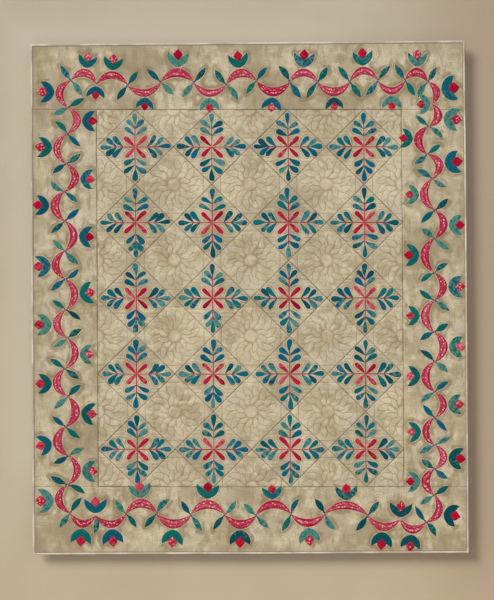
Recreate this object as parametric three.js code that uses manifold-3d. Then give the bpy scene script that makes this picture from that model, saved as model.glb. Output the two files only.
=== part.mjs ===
// A patchwork quilt hung flat on a wooden wall rack.
//
// The quilt is pieced from squares set on point, side and corner triangles and four border
// strips. It is layered over batting and a backing cloth, and bound all round its edge.
// A cloth sleeve sewn to the backing holds a turned pole, and the pole's end pins rest in
// two open notches of the rack, which is screwed to the wall.
//
// Millimetres. +Z is up, +X is to the right of a person facing the quilt, and the quilt's
// face looks along -Y. The origin is the middle of the rack's back face, level with the pole.

import * as THREE from 'three';
import { mergeVertices } from 'three/addons/utils/BufferGeometryUtils.js';
import Module from 'manifold-3d';

const wasm = await Module();
wasm.setup();

// ---------------------------------------------------------------- driving dimensions

const QUILT_WIDTH = 2083;
const QUILT_HEIGHT = 2438;

const BLOCK_SIDE = 258;          // finished side of each pieced square
const BLOCK_COLUMNS = 4;         // flower blocks across
const BLOCK_ROWS = 5;            // flower blocks down

const TOP_CLOTH = 1.2;           // pieced top with its turned seam allowances
const BATTING = 3;
const BACKING_CLOTH = 1.2;
const BINDING_CLOTH = 0.8;       // bias strip folded over the raw edges
const BINDING_SHOWS = 10;        // width of binding seen on the front and on the back

const LAYER_GAP = 0.3;           // between layers, and between cloth and what it rests on
const SEAM_GAP = 0.3;            // between neighbouring pieces of the top

const POLE_RADIUS = 14;
const PIN_RADIUS = 8;            // turned-down ends of the pole
const PIN_CLEARANCE = 0.3;

const SLEEVE_CLOTH = 1;
const SLEEVE_DROP = 84;          // from the pole's axis down to the sleeve's lower seam
const SLEEVE_SEAM = 3;           // height of the sewn-down fold at that seam
const SLEEVE_BELOW_EDGE = 20;    // from the quilt's upper edge down to the sleeve
const SLEEVE_END_SLACK = 25;     // bare pole between the sleeve and each arm
const SLEEVE_TO_BOARD = 4.7;     // free space behind the sleeve

const RACK_INSET = 22;           // how far the rack stays behind the quilt's side edges
const ARM_THICKNESS = 20;
const ARM_NOSE_CLEARANCE = 0.6;  // from the arm's round nose to the backing
const ARM_LIP = 11;              // height of the notch's lips above the pole's axis
const ARM_ROOT = 30;             // depth of the arm below the pole's axis, at the board
const BOARD_THICKNESS = 18;
const BOARD_HEIGHT = 70;
const SCREW_HOLE_RADIUS = 2.75;
const SCREW_HOLES = 4;
const SCREW_END_MARGIN = 119.5;  // from the board's end to the first hole

// ---------------------------------------------------------------- places worked out from them

const sleeveInside = POLE_RADIUS + LAYER_GAP;
const sleeveOutside = sleeveInside + SLEEVE_CLOTH;
const upperEdge = sleeveOutside + SLEEVE_BELOW_EDGE;
const middleHeight = upperEdge - QUILT_HEIGHT / 2;

const poleStandoff = BOARD_THICKNESS + SLEEVE_TO_BOARD + sleeveOutside;
const backingBack = -poleStandoff - sleeveOutside - LAYER_GAP;
const backingFront = backingBack - BACKING_CLOTH;
const battingBack = backingFront - LAYER_GAP;
const battingFront = battingBack - BATTING;
const topBack = battingFront - LAYER_GAP;
const topFront = topBack - TOP_CLOTH;

const layerInset = BINDING_CLOTH + LAYER_GAP;
const layerWidth = QUILT_WIDTH - 2 * layerInset;
const layerHeight = QUILT_HEIGHT - 2 * layerInset;

const diagonal = BLOCK_SIDE * Math.SQRT2;
const fieldWidth = BLOCK_COLUMNS * diagonal;
const fieldHeight = BLOCK_ROWS * diagonal;

const armOuterFace = QUILT_WIDTH / 2 - RACK_INSET;
const armInnerFace = armOuterFace - ARM_THICKNESS;
const holeSpacing = 2 * (armOuterFace - SCREW_END_MARGIN) / (SCREW_HOLES - 1);

// ---------------------------------------------------------------- materials

const material = (color, roughness) => new THREE.MeshStandardMaterial({ color, roughness, metalness: 0 });
const blockCloth = material('#c9bb94', 0.92);
const plainCloth = material('#cdc09a', 0.92);
const borderCloth = material('#c2ae88', 0.92);
const bindingCloth = material('#c9bfb4', 0.9);
const backingCloth = material('#d2c6a6', 0.92);
const battingFibre = material('#ece6d6', 0.98);
const rackWood = material('#8f6a43', 0.6);
const poleWood = material('#b08a5c', 0.55);

const quilt = new THREE.Group();
const rack = new THREE.Group();
const object = new THREE.Group();
object.add(quilt, rack);

function add(group, name, geometry, itsMaterial) {
  const mesh = new THREE.Mesh(geometry, itsMaterial);
  mesh.name = name;
  group.add(mesh);
  return mesh;
}

// ---------------------------------------------------------------- shaping helpers

// A closed solid with a flat front and back: an outline in x and z, thick from front to back in y.
function slab(outline, front, back) {
  const shape = new THREE.Shape(outline);
  const geometry = new THREE.ExtrudeGeometry(shape, { depth: back - front, bevelEnabled: false });
  geometry.rotateX(Math.PI / 2);
  geometry.translate(0, back, 0);
  return geometry;
}

// A box by its width, its front and back, and its height, about a middle in x and z.
function sheetBox(width, height, front, back, x = 0, z = 0) {
  const geometry = new THREE.BoxGeometry(width, back - front, height);
  geometry.translate(x, (front + back) / 2, z);
  return geometry;
}

// A convex outline, anticlockwise, drawn in by the same distance along every side.
function drawnIn(corners, distance) {
  return corners.map((corner, i) => {
    const before = corners[(i + corners.length - 1) % corners.length];
    const after = corners[(i + 1) % corners.length];
    const along = corner.clone().sub(before).normalize();
    const ahead = after.clone().sub(corner).normalize();
    const inward = new THREE.Vector2(-along.y, along.x);
    const turn = Math.atan2(along.cross(ahead), along.dot(ahead));
    const setBack = distance * Math.tan(turn / 2);
    return corner.clone().addScaledVector(inward, distance).addScaledVector(along, -setBack);
  });
}

// A side view in y and z, carried along x from one place to another.
function alongX(shape, from, to, curveSegments = 24) {
  const geometry = new THREE.ExtrudeGeometry(shape, { depth: to - from, bevelEnabled: false, curveSegments });
  const swap = new THREE.Matrix4().set(
    0, 0, 1, from,
    1, 0, 0, 0,
    0, 1, 0, 0,
    0, 0, 0, 1,
  );
  return geometry.applyMatrix4(swap);
}

function solid(geometry) {
  geometry.deleteAttribute('normal');
  geometry.deleteAttribute('uv');
  const merged = mergeVertices(geometry, 1e-4);
  const vertProperties = new Float32Array(merged.attributes.position.array);
  const triVerts = new Uint32Array(merged.index.array);
  return new wasm.Manifold(new wasm.Mesh({ numProp: 3, vertProperties, triVerts }));
}

function geometryOf(manifold) {
  const mesh = manifold.getMesh();
  const geometry = new THREE.BufferGeometry();
  geometry.setAttribute('position', new THREE.BufferAttribute(mesh.vertProperties, 3));
  geometry.setIndex(new THREE.BufferAttribute(mesh.triVerts, 1));
  return geometry;
}

// ---------------------------------------------------------------- the pieced top

// One piece of the top, from its corners in x and z about the middle of the quilt.
function topPiece(name, corners, cloth) {
  const outline = drawnIn(corners.map(([x, z]) => new THREE.Vector2(x, z + middleHeight)), SEAM_GAP / 2);
  add(quilt, name, slab(outline, topFront, topBack), cloth);
}

const half = diagonal / 2;
const diamond = (x, z) => [[x - half, z], [x, z - half], [x + half, z], [x, z + half]];
const columnPlace = (column) => (column - (BLOCK_COLUMNS - 1) / 2) * diagonal;
const rowPlace = (row) => ((BLOCK_ROWS - 1) / 2 - row) * diagonal;

for (let row = 0; row < BLOCK_ROWS; row += 1) {
  for (let column = 0; column < BLOCK_COLUMNS; column += 1) {
    const name = `flower_block_${row + 1}_${column + 1}`;
    topPiece(name, diamond(columnPlace(column), rowPlace(row)), blockCloth);
  }
}

for (let row = 0; row < BLOCK_ROWS - 1; row += 1) {
  for (let column = 0; column < BLOCK_COLUMNS - 1; column += 1) {
    const name = `plain_block_${row + 1}_${column + 1}`;
    topPiece(name, diamond(columnPlace(column) + half, rowPlace(row) - half), plainCloth);
  }
}

const fieldRight = fieldWidth / 2;
const fieldTop = fieldHeight / 2;

for (let column = 0; column < BLOCK_COLUMNS - 1; column += 1) {
  const x = columnPlace(column) + half;
  const above = [[x - half, fieldTop], [x, fieldTop - half], [x + half, fieldTop]];
  const below = [[x - half, -fieldTop], [x + half, -fieldTop], [x, half - fieldTop]];
  topPiece(`side_triangle_top_${column + 1}`, above, plainCloth);
  topPiece(`side_triangle_bottom_${column + 1}`, below, plainCloth);
}

for (let row = 0; row < BLOCK_ROWS - 1; row += 1) {
  const z = rowPlace(row) - half;
  const onLeft = [[-fieldRight, z + half], [-fieldRight, z - half], [half - fieldRight, z]];
  const onRight = [[fieldRight, z - half], [fieldRight, z + half], [fieldRight - half, z]];
  topPiece(`side_triangle_left_${row + 1}`, onLeft, plainCloth);
  topPiece(`side_triangle_right_${row + 1}`, onRight, plainCloth);
}

for (const [side, sx] of [['left', -1], ['right', 1]]) {
  for (const [end, sz] of [['top', 1], ['bottom', -1]]) {
    const corners = [
      [sx * fieldRight, sz * fieldTop],
      [sx * (fieldRight - half), sz * fieldTop],
      [sx * fieldRight, sz * (fieldTop - half)],
    ];
    topPiece(`corner_triangle_${end}_${side}`, sx * sz > 0 ? corners : corners.reverse(), plainCloth);
  }
}

// The side strips are sewn on first, then the upper and lower strips across the whole width.
const stripRight = layerWidth / 2 + SEAM_GAP / 2;
const stripTop = layerHeight / 2 + SEAM_GAP / 2;
const rectangle = (x0, z0, x1, z1) => [[x0, z0], [x1, z0], [x1, z1], [x0, z1]];
topPiece('border_top', rectangle(-stripRight, fieldTop, stripRight, stripTop), borderCloth);
topPiece('border_bottom', rectangle(-stripRight, -stripTop, stripRight, -fieldTop), borderCloth);
topPiece('border_left', rectangle(-stripRight, -fieldTop, -fieldRight, fieldTop), borderCloth);
topPiece('border_right', rectangle(fieldRight, -fieldTop, stripRight, fieldTop), borderCloth);

// ---------------------------------------------------------------- the layers under it and the binding

const layer = (front, back) => sheetBox(layerWidth, layerHeight, front, back, 0, middleHeight);
add(quilt, 'batting', layer(battingFront, battingBack), battingFibre);
add(quilt, 'backing', layer(backingFront, backingBack), backingCloth);

// The binding is a strip with a U-shaped section: a frame with a groove for the layers' edges.
const bindingFront = topFront - LAYER_GAP - BINDING_CLOTH;
const bindingBack = backingBack + LAYER_GAP + BINDING_CLOTH;
const beyond = 1;                // how far each cutting box runs past the binding's faces
const groove = sheetBox(
  QUILT_WIDTH - 2 * BINDING_CLOTH,
  QUILT_HEIGHT - 2 * BINDING_CLOTH,
  bindingFront + BINDING_CLOTH,
  bindingBack - BINDING_CLOTH,
  0,
  middleHeight,
);
const windowCut = sheetBox(
  QUILT_WIDTH - 2 * BINDING_SHOWS,
  QUILT_HEIGHT - 2 * BINDING_SHOWS,
  bindingFront - beyond,
  bindingBack + beyond,
  0,
  middleHeight,
);
const bindingSolid = solid(sheetBox(QUILT_WIDTH, QUILT_HEIGHT, bindingFront, bindingBack, 0, middleHeight))
  .subtract(solid(groove))
  .subtract(solid(windowCut));
add(quilt, 'binding', geometryOf(bindingSolid), bindingCloth);

// ---------------------------------------------------------------- the hanging sleeve

// A side view of one face of the sleeve's cloth: flat against the backing, over the top of
// the pole and round its back, then along a tangent down to the lower seam.
function sleeveOutline(radius, foot, drop) {
  const seam = new THREE.Vector2(foot - radius, -drop);
  const leavesPole = Math.atan2(seam.y, seam.x) + Math.acos(radius / seam.length());
  const outline = new THREE.Path();
  outline.moveTo(-radius, -drop);
  outline.lineTo(seam.x, seam.y);
  outline.absarc(0, 0, radius, leavesPole, Math.PI / 2, false);
  outline.lineTo(-radius, radius);
  outline.closePath();
  return outline.getPoints(16);
}

const outerFace = sleeveOutline(sleeveOutside, 2 * SLEEVE_CLOTH, SLEEVE_DROP);
const innerFace = sleeveOutline(sleeveInside, SLEEVE_CLOTH / 4, SLEEVE_DROP - SLEEVE_SEAM);
const sleeveSection = new THREE.Shape(outerFace);
sleeveSection.holes.push(new THREE.Path(innerFace));
const sleeveEnd = armInnerFace - SLEEVE_END_SLACK;
const sleeve = alongX(sleeveSection, -sleeveEnd, sleeveEnd);
sleeve.translate(0, -poleStandoff, 0);
add(quilt, 'hanging_sleeve', sleeve, backingCloth);

// ---------------------------------------------------------------- the pole

const poleShoulder = armInnerFace - LAYER_GAP;
const poleEnd = armOuterFace;
const poleProfile = [
  [0, -poleEnd],
  [PIN_RADIUS, -poleEnd],
  [PIN_RADIUS, -poleShoulder],
  [POLE_RADIUS, -poleShoulder],
  [POLE_RADIUS, poleShoulder],
  [PIN_RADIUS, poleShoulder],
  [PIN_RADIUS, poleEnd],
  [0, poleEnd],
].map(([radius, place]) => new THREE.Vector2(radius, place));
const pole = new THREE.LatheGeometry(poleProfile, 32);
pole.rotateZ(-Math.PI / 2);
pole.translate(0, -poleStandoff, 0);
add(rack, 'hanging_pole', pole, poleWood);

// ---------------------------------------------------------------- the wall rack

// An arm's side view: a round nose about the pole's axis, with a notch open at the top.
const noseRadius = sleeveOutside + LAYER_GAP - ARM_NOSE_CLEARANCE;
const notchRadius = PIN_RADIUS + PIN_CLEARANCE;
const armRootBehind = poleStandoff - BOARD_THICKNESS / 2;
const armSide = new THREE.Shape();
armSide.moveTo(armRootBehind, ARM_LIP);
armSide.lineTo(notchRadius, ARM_LIP);
armSide.lineTo(notchRadius, 0);
armSide.absarc(0, 0, notchRadius, 0, Math.PI, true);
armSide.lineTo(-notchRadius, ARM_LIP);
armSide.absarc(0, 0, noseRadius, Math.PI - Math.asin(ARM_LIP / noseRadius), Math.PI * 1.5, false);
armSide.lineTo(poleStandoff - BOARD_THICKNESS, -ARM_ROOT);
armSide.lineTo(armRootBehind, -ARM_ROOT);
armSide.closePath();

let rackSolid = solid(sheetBox(2 * armOuterFace, BOARD_HEIGHT, -BOARD_THICKNESS, 0));
for (const from of [-armOuterFace, armInnerFace]) {
  const arm = alongX(armSide, from, from + ARM_THICKNESS);
  arm.translate(0, -poleStandoff, 0);
  rackSolid = rackSolid.add(solid(arm));
}
for (let hole = 0; hole < SCREW_HOLES; hole += 1) {
  const drill = new THREE.CylinderGeometry(SCREW_HOLE_RADIUS, SCREW_HOLE_RADIUS, 3 * BOARD_THICKNESS, 20);
  drill.translate((hole - (SCREW_HOLES - 1) / 2) * holeSpacing, 0, 0);
  rackSolid = rackSolid.subtract(solid(drill));
}
add(rack, 'wall_rack', geometryOf(rackSolid), rackWood);

export default object;
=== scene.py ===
# %% [markdown]
# # A hand-sewn quilt hanging from a wall rack
# The quilt is a bed cover of cotton: a top pieced from cross blocks, plain blocks and a wide
# border, a thin batting and a backing, all held together by lines of quilting. It hangs from
# a pole in a cloth sleeve behind its upper edge.

# %% Load the solid model
import math
import bpy
import numpy as np
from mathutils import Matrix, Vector


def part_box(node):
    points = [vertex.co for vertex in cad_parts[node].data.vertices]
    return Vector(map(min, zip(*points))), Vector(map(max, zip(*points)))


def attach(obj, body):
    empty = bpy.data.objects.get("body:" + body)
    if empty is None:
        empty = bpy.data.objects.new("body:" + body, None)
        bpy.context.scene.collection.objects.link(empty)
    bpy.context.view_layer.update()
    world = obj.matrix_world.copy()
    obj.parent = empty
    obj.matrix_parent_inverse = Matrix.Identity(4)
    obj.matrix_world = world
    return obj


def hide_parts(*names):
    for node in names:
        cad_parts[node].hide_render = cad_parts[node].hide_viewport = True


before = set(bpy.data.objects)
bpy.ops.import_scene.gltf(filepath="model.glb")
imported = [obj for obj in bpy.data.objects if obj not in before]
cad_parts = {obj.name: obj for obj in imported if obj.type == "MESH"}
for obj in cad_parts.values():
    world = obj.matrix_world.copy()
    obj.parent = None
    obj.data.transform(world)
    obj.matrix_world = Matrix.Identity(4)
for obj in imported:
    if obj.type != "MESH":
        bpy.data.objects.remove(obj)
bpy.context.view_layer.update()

# %% [markdown]
# ## The quilt's own ruler
# A pattern is easiest to lay out on the flat quilt: `across` runs to the viewer's right and
# `up` to the upper edge, both in metres from the quilt's middle. `forward` is the height in
# front of the backing's rear face. The blocks stand on their points, so one block's diagonal
# is the pitch of the whole lattice.

# %% Sizes read from the solid model
MM = 0.001
TAU = 2 * math.pi
binding_low, binding_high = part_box("binding")
backing_low, backing_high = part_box("backing")
HALF_WIDTH = (binding_high[0] - binding_low[0]) / 2
HALF_HEIGHT = (binding_high[2] - binding_low[2]) / 2
MIDDLE = (binding_high[2] + binding_low[2]) / 2
BACK_FACE = backing_high[1]
TOP_HALF_WIDTH = (backing_high[0] - backing_low[0]) / 2
TOP_HALF_HEIGHT = (backing_high[2] - backing_low[2]) / 2
BLOCK = 258 * MM
PITCH = BLOCK * math.sqrt(2)
COLUMNS, ROWS = 4, 5
FIELD_HALF_WIDTH = COLUMNS * PITCH / 2
FIELD_HALF_HEIGHT = ROWS * PITCH / 2
SEAM_GAP = 0.3 * MM
print("quilt", round(2 * HALF_WIDTH, 3), "x", round(2 * HALF_HEIGHT, 3), "pitch", round(PITCH, 4))

# %% [markdown]
# ## One formula for arrays and for materials
# A line of quilting is both a groove in the cloth and a line of thread in its colour, and the
# two have to agree. So each pattern is written once. Given numpy arrays it returns an array,
# which shapes the mesh. Given a `Wire`, a number inside a material, the same words build
# Math nodes, which draw the thread.

# %% Numbers that work in both places
class Wire:
    """A number in a material's node tree. Arithmetic on it adds Math nodes."""

    def __init__(self, tree, socket):
        self.tree, self.socket = tree, socket

    def node(self, operation, *values):
        """A Math node fed with wires and plain numbers, as a new Wire."""
        made = self.tree.nodes.new("ShaderNodeMath")
        made.operation = operation
        for slot, value in zip(made.inputs, values):
            if isinstance(value, Wire):
                self.tree.links.new(value.socket, slot)
            else:
                slot.default_value = float(value)
        return Wire(self.tree, made.outputs[0])

    def __neg__(self):
        return self.node("MULTIPLY", self, -1)

    def __abs__(self):
        return self.node("ABSOLUTE", self)

    def __rsub__(self, other):
        return self.node("SUBTRACT", other, self)


ARITHMETIC = {"__add__": "ADD", "__radd__": "ADD", "__mul__": "MULTIPLY", "__rmul__": "MULTIPLY",
              "__sub__": "SUBTRACT", "__truediv__": "DIVIDE"}
for method, operation in ARITHMETIC.items():
    setattr(Wire, method, lambda self, other, kind=operation: self.node(kind, self, other))


def either(operation, array_way):
    """A step that works on arrays, and becomes a Math node where a value is a Wire."""
    def step(*values):
        for value in values:
            if isinstance(value, Wire):
                return value.node(operation, *values)
        return array_way(*values)
    return step


larger = either("MAXIMUM", np.maximum)
smaller = either("MINIMUM", np.minimum)
sine = either("SINE", np.sin)
root = either("SQRT", np.sqrt)
power = either("POWER", np.power)
bearing = either("ARCTAN2", np.arctan2)
floored = either("FLOOR", np.floor)


def clip(a):
    """a held between 0 and 1."""
    return larger(smaller(a, 1.0), 0.0)


def ramp(a, low, high):
    """0 below low and 1 above high, with the smooth rise 3t² − 2t³ between them."""
    t = clip((a - low) / (high - low))
    return t * t * (3 - 2 * t)


def wrapped(a, step):
    """The signed distance from a to the nearest whole number of steps."""
    return a - floored(a / step + 0.5) * step


print("ramp at a half:", ramp(np.array([0.5]), 0, 1))

# %% [markdown]
# ## The quilting patterns
# A plain block is quilted with a dahlia: a round eye and two rings of petals that overlap.
# Around the sewn-on leaves runs one outline, and the ground beyond it is filled with straight
# rows. The border follows the vine in echoes, like ripples round a stone. Each function
# returns the distance from a spot to the nearest line of thread.

# %% Distances to the lines of quilting
EYE = 31 * MM
ROW_STEP = 18.2 * MM
OUTLINE = 6 * MM
ECHO_STEP = 12.5 * MM
ROWS_FROM = 15 * MM
INNER_TIP = 82 * MM
OUTER_BASE, OUTER_TIP = 54 * MM, 126 * MM
CORNER_LINE = 141 * MM


def petal_ring(x, y, petals, base, tip, curl):
    """Signed gap to the nearest petal's edge and the distance to it. With s from 0 at the
    ring's base to 1 at its tip, a petal's half width is sin(π s^0.8)^0.7 of half its share
    of the circle, and curl turns the petal as s grows."""
    reach = larger(root(x * x + y * y), 1e-5)
    s = clip((reach - base) / (tip - base))
    half = 0.97 * power(larger(sine(math.pi * power(s, 0.8)), 1e-5), 0.7)
    aside = abs(wrapped(bearing(y, x) + curl * s, TAU / petals)) * (petals / math.pi)
    gap = (aside - half) * reach * (0.8 * math.pi / petals)
    return gap, larger(abs(gap), larger(base - reach, reach - tip))


def dahlia_lines(x, y, near=None):
    """Distance to the thread of a plain block, from its middle: the eye, twelve inner petals,
    sixteen outer ones that run under them, and one straight line across each corner. No patch
    lies on it, so near isn't used."""
    inner_gap, inner = petal_ring(x, y, 12, EYE, INNER_TIP, 0.35)
    _, outer = petal_ring(x, y, 16, OUTER_BASE, OUTER_TIP, -0.30)
    eye = abs(root(x * x + y * y) - EYE)
    corner = abs(larger(abs(x), abs(y)) - CORNER_LINE)
    return smaller(smaller(inner, larger(outer, -inner_gap)), smaller(eye, corner))


def cross_block_lines(x, y, near):
    """Distance to the thread of a cross block: one outline round the leaves, and level rows
    where the leaves are further off. near is the distance to the nearest leaf's edge."""
    rows = larger(abs(wrapped(y, ROW_STEP)), ROWS_FROM - near)
    return smaller(abs(near - OUTLINE), rows)


def border_lines(x, y, near):
    """Distance to the echoes round the vine, one every ECHO_STEP from the first outline."""
    return abs(wrapped(near - OUTLINE, ECHO_STEP))


def puff(distance, half):
    """How full the batting is, 0 at a line and 1 from half away: 1 − (1 − d/half)²."""
    slack = 1 - clip(distance / half)
    return 1 - slack * slack


spots = np.array([0.0, 0.05, 0.1])
print("dahlia distances in mm:", np.round(dahlia_lines(spots, spots * 0) * 1000, 1))

# %% [markdown]
# ## How the quilt hangs
# A big cloth never hangs as flat as a board. A light sheet with a coarse grid is held along
# the sleeve and left to fall in Blender's cloth simulation, a touch longer than the space it
# is given, so it settles into soft waves. Every layer and every leaf then reads the same
# table of waves, so nothing slides or cuts through its neighbour.

# %% Let a plain sheet fall
GRID_COLUMNS, GRID_ROWS = 27, 31
FALL_STEPS = 26
FIRST_WAVES = 3 * MM
WAVE_LIMIT = 6.5 * MM
DRIFT_LIMIT = 4 * MM


def grid_quads(rows, columns):
    """Quads between neighbours of a grid that is numbered row by row. Rows that go up and
    columns that go right make faces that look at the viewer."""
    k = np.arange(rows * columns).reshape(rows, columns)
    return np.stack([k[:-1, :-1], k[:-1, 1:], k[1:, 1:], k[1:, :-1]], axis=-1).reshape(-1, 4)


def hang_a_sheet():
    """A flat grid that starts with low waves, y = sum of sines, is held at its upper rows and
    falls for FALL_STEPS. Returns how far each point went."""
    rng = np.random.default_rng(1842)
    across = np.linspace(-HALF_WIDTH, HALF_WIDTH, GRID_COLUMNS)
    up = np.linspace(-HALF_HEIGHT, HALF_HEIGHT, GRID_ROWS)
    x, z = np.meshgrid(across, up)
    wave = sum(
        rng.uniform(-1, 1) * np.sin(a * x + b * z + rng.uniform(0, TAU))
        for a in (1.5, 3.4, 6.1, 8.5) for b in (0.5, 1.9)
    )
    start = np.stack([x, FIRST_WAVES * wave, z], axis=-1).reshape(-1, 3)
    mesh = bpy.data.meshes.new("falling_sheet")
    mesh.from_pydata(start.tolist(), [], grid_quads(GRID_ROWS, GRID_COLUMNS).tolist())
    sheet = bpy.data.objects.new("falling_sheet", mesh)
    bpy.context.collection.objects.link(sheet)
    held = sheet.vertex_groups.new(name="held")
    held.add(list(range((GRID_ROWS - 2) * GRID_COLUMNS, GRID_ROWS * GRID_COLUMNS)), 1.0, "REPLACE")
    cloth = sheet.modifiers.new("fall", "CLOTH")
    cloth.settings.quality = 6
    cloth.settings.mass = 0.5
    cloth.settings.tension_stiffness = 20
    cloth.settings.compression_stiffness = 20
    cloth.settings.bending_stiffness = 2
    cloth.settings.shrink_min = -0.004
    cloth.settings.vertex_group_mass = "held"
    scene = bpy.context.scene
    for step in range(1, FALL_STEPS + 1):
        scene.frame_set(step)
    fallen = sheet.evaluated_get(bpy.context.evaluated_depsgraph_get()).to_mesh()
    spots = np.empty(len(start) * 3)
    fallen.vertices.foreach_get("co", spots)
    scene.frame_set(1)
    bpy.data.objects.remove(sheet)
    bpy.data.meshes.remove(mesh)
    moved = spots.reshape(-1, 3) - np.stack([x, 0 * x, z], axis=-1).reshape(-1, 3)
    return moved.reshape(GRID_ROWS, GRID_COLUMNS, 3)


fallen = hang_a_sheet()
HANG = fallen[..., 1] - fallen[..., 1].mean()
HANG = HANG * WAVE_LIMIT / np.abs(HANG).max()
DRIFT_ACROSS = np.clip(fallen[..., 0], -DRIFT_LIMIT, DRIFT_LIMIT)
DRIFT_UP = np.clip(fallen[..., 2] - fallen[..., 2].mean(), -DRIFT_LIMIT, DRIFT_LIMIT)
print("waves in mm:", np.round(np.percentile(HANG * 1000, [0, 25, 50, 75, 100]), 2))

# %% [markdown]
# The table is coarse, so it is read through a cubic B-spline, which has no creases. The quilt
# also leans a little: its lower edge sits to the right, and its upper right corner is higher.

# %% Put a spot of the flat quilt in its place
LEAN = 8 * MM
UPPER_LIFT, UPPER_TILT, LOWER_TILT = 2.5 * MM, 9 * MM, 5 * MM
TILT_FROM, TILT_FULL = 0.90, 1.25
WAVES_FROM, WAVES_FULL = 0.13, 0.55
BORDER_EASE = 4 * MM
FIELD_EASE = 0.0125
FIELD_SHIFT = 8 * MM


def smooth_sample(table, across, up):
    """The table at that spot, blended from its 4 × 4 neighbours with the cubic B-spline
    weights (1−f)³/6, (3f³−6f²+4)/6, (−3f³+3f²+3f+1)/6 and f³/6 along each side."""
    rows, columns = table.shape
    i = np.clip((across / HALF_WIDTH + 1) / 2, 0, 1) * (columns - 1)
    j = np.clip((up / HALF_HEIGHT + 1) / 2, 0, 1) * (rows - 1)
    i0 = np.minimum(np.floor(i), columns - 2).astype(int)
    j0 = np.minimum(np.floor(j), rows - 2).astype(int)
    total = 0
    weights = []
    for f in (i - i0, j - j0):
        weights.append([(1 - f) ** 3 / 6, (3 * f**3 - 6 * f**2 + 4) / 6,
                        (-3 * f**3 + 3 * f**2 + 3 * f + 1) / 6, f**3 / 6])
    for a in range(4):
        for b in range(4):
            row = np.clip(j0 + b - 1, 0, rows - 1)
            column = np.clip(i0 + a - 1, 0, columns - 1)
            total = total + weights[0][a] * weights[1][b] * table[row, column]
    return total


def place(across, up, forward):
    """Flat spot and height to a point in the room. The waves fade out towards the sleeve, the
    lean is in proportion to the height, and the tilt only takes hold near the ends. The
    quilting has drawn the field in by FIELD_EASE, and the border makes up for it. The middle
    lies FIELD_SHIFT to the right, which fades to nothing at the side edges."""
    loose = ramp(HALF_HEIGHT - up, WAVES_FROM, WAVES_FULL)
    x = across - LEAN * up / HALF_HEIGHT + loose * smooth_sample(DRIFT_ACROSS, across, up)
    x = x + FIELD_SHIFT * (1 - (across / HALF_WIDTH) ** 2)
    inner = np.clip(up, -FIELD_HALF_HEIGHT, FIELD_HALF_HEIGHT)
    outer = (up - inner) / (HALF_HEIGHT - FIELD_HALF_HEIGHT)
    z = MIDDLE + up - FIELD_EASE * inner * (1 - np.abs(outer)) + BORDER_EASE * outer
    upper, lower = ramp(up, TILT_FROM, TILT_FULL), ramp(-up, TILT_FROM, TILT_FULL)
    z = z + upper * UPPER_LIFT
    z = z + (UPPER_TILT * upper + LOWER_TILT * lower) * across / HALF_WIDTH
    z = z + loose * smooth_sample(DRIFT_UP, across, up)
    y = BACK_FACE - forward + loose * smooth_sample(HANG, across, up)
    return np.stack([x, y, z], axis=-1)


print("lower right corner", np.round(place(np.array([HALF_WIDTH]), np.array([-HALF_HEIGHT]), 0), 4))

# %% [markdown]
# ## Meshes from whole arrays
# Each piece is a grid of points with quads between neighbours. `foreach_set` copies an array
# straight into the mesh, and a named attribute carries the flat pattern coordinates along, so
# a material can read them however the cloth bends.

# %% Helpers for grids and pieces
def tube_quads(k, wound=1):
    """Quads of tubes numbered k[..., section, corner], where every section is a closed loop;
    wound -1 turns them round."""
    after = np.roll(k, -1, axis=-1)
    quads = np.stack([k[..., :-1, :], k[..., 1:, :], after[..., 1:, :], after[..., :-1, :]], axis=-1)
    return quads.reshape(-1, 4)[:, [0, 1, 2, 3] if wound > 0 else [0, 3, 2, 1]]


def new_piece(name, points, faces, material, body="quilt", **attributes):
    """A mesh object with smooth faces that rides on a body. faces is a list of index arrays,
    one for each number of corners; an attribute with three columns is a vector."""
    mesh = bpy.data.meshes.new(name)
    corners = np.concatenate([f.ravel() for f in faces]).astype(np.int32)
    sizes = np.concatenate([np.full(len(f), f.shape[1]) for f in faces])
    starts = np.concatenate([[0], np.cumsum(sizes)[:-1]]).astype(np.int32)
    mesh.vertices.add(len(points))
    mesh.vertices.foreach_set("co", np.ascontiguousarray(points, dtype=np.float32).ravel())
    mesh.loops.add(len(corners))
    mesh.loops.foreach_set("vertex_index", corners)
    mesh.polygons.add(len(sizes))
    mesh.polygons.foreach_set("loop_start", starts)
    mesh.polygons.foreach_set("use_smooth", np.ones(len(sizes), dtype=bool))
    mesh.update(calc_edges=True)
    mesh.validate()
    for key, values in attributes.items():
        values = np.ascontiguousarray(values, dtype=np.float32)
        kind = "FLOAT_VECTOR" if values.ndim == 2 else "FLOAT"
        made = mesh.attributes.new(key, kind, "POINT")
        made.data.foreach_set("vector" if values.ndim == 2 else "value", values.ravel())
    mesh.materials.append(material)
    piece = bpy.data.objects.new(name, mesh)
    bpy.context.collection.objects.link(piece)
    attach(piece, body)
    return piece


def thicken(piece, thickness, offset=-1.0):
    """Gives a cloth its thickness behind the face that shows."""
    wall = piece.modifiers.new("cloth_thickness", "SOLIDIFY")
    wall.thickness = thickness
    wall.offset = offset
    return piece


print("a 3 x 3 grid has", len(grid_quads(3, 3)), "quads")

# %% [markdown]
# ## Colours and cloth materials
# Old cotton is never one colour. Large soft clouds of staining run over the whole quilt,
# small streaks follow the threads, and a fine weave catches the light. The colours are the
# real ones in linear light, made from the usual 0 to 255 values.

# %% Colour and node helpers
def tone(red, green, blue):
    """Linear RGBA from 0–255 screen values: ((c + 0.055) / 1.055)^2.4, or c / 12.92 if dark."""
    c = np.array([red, green, blue]) / 255
    linear = np.where(c > 0.04045, ((c + 0.055) / 1.055) ** 2.4, c / 12.92)
    return (*[float(v) for v in linear], 1.0)


def darker(colour, share):
    """The same colour with only that share of its light."""
    return (*[v * share for v in colour[:3]], 1.0)


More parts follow.
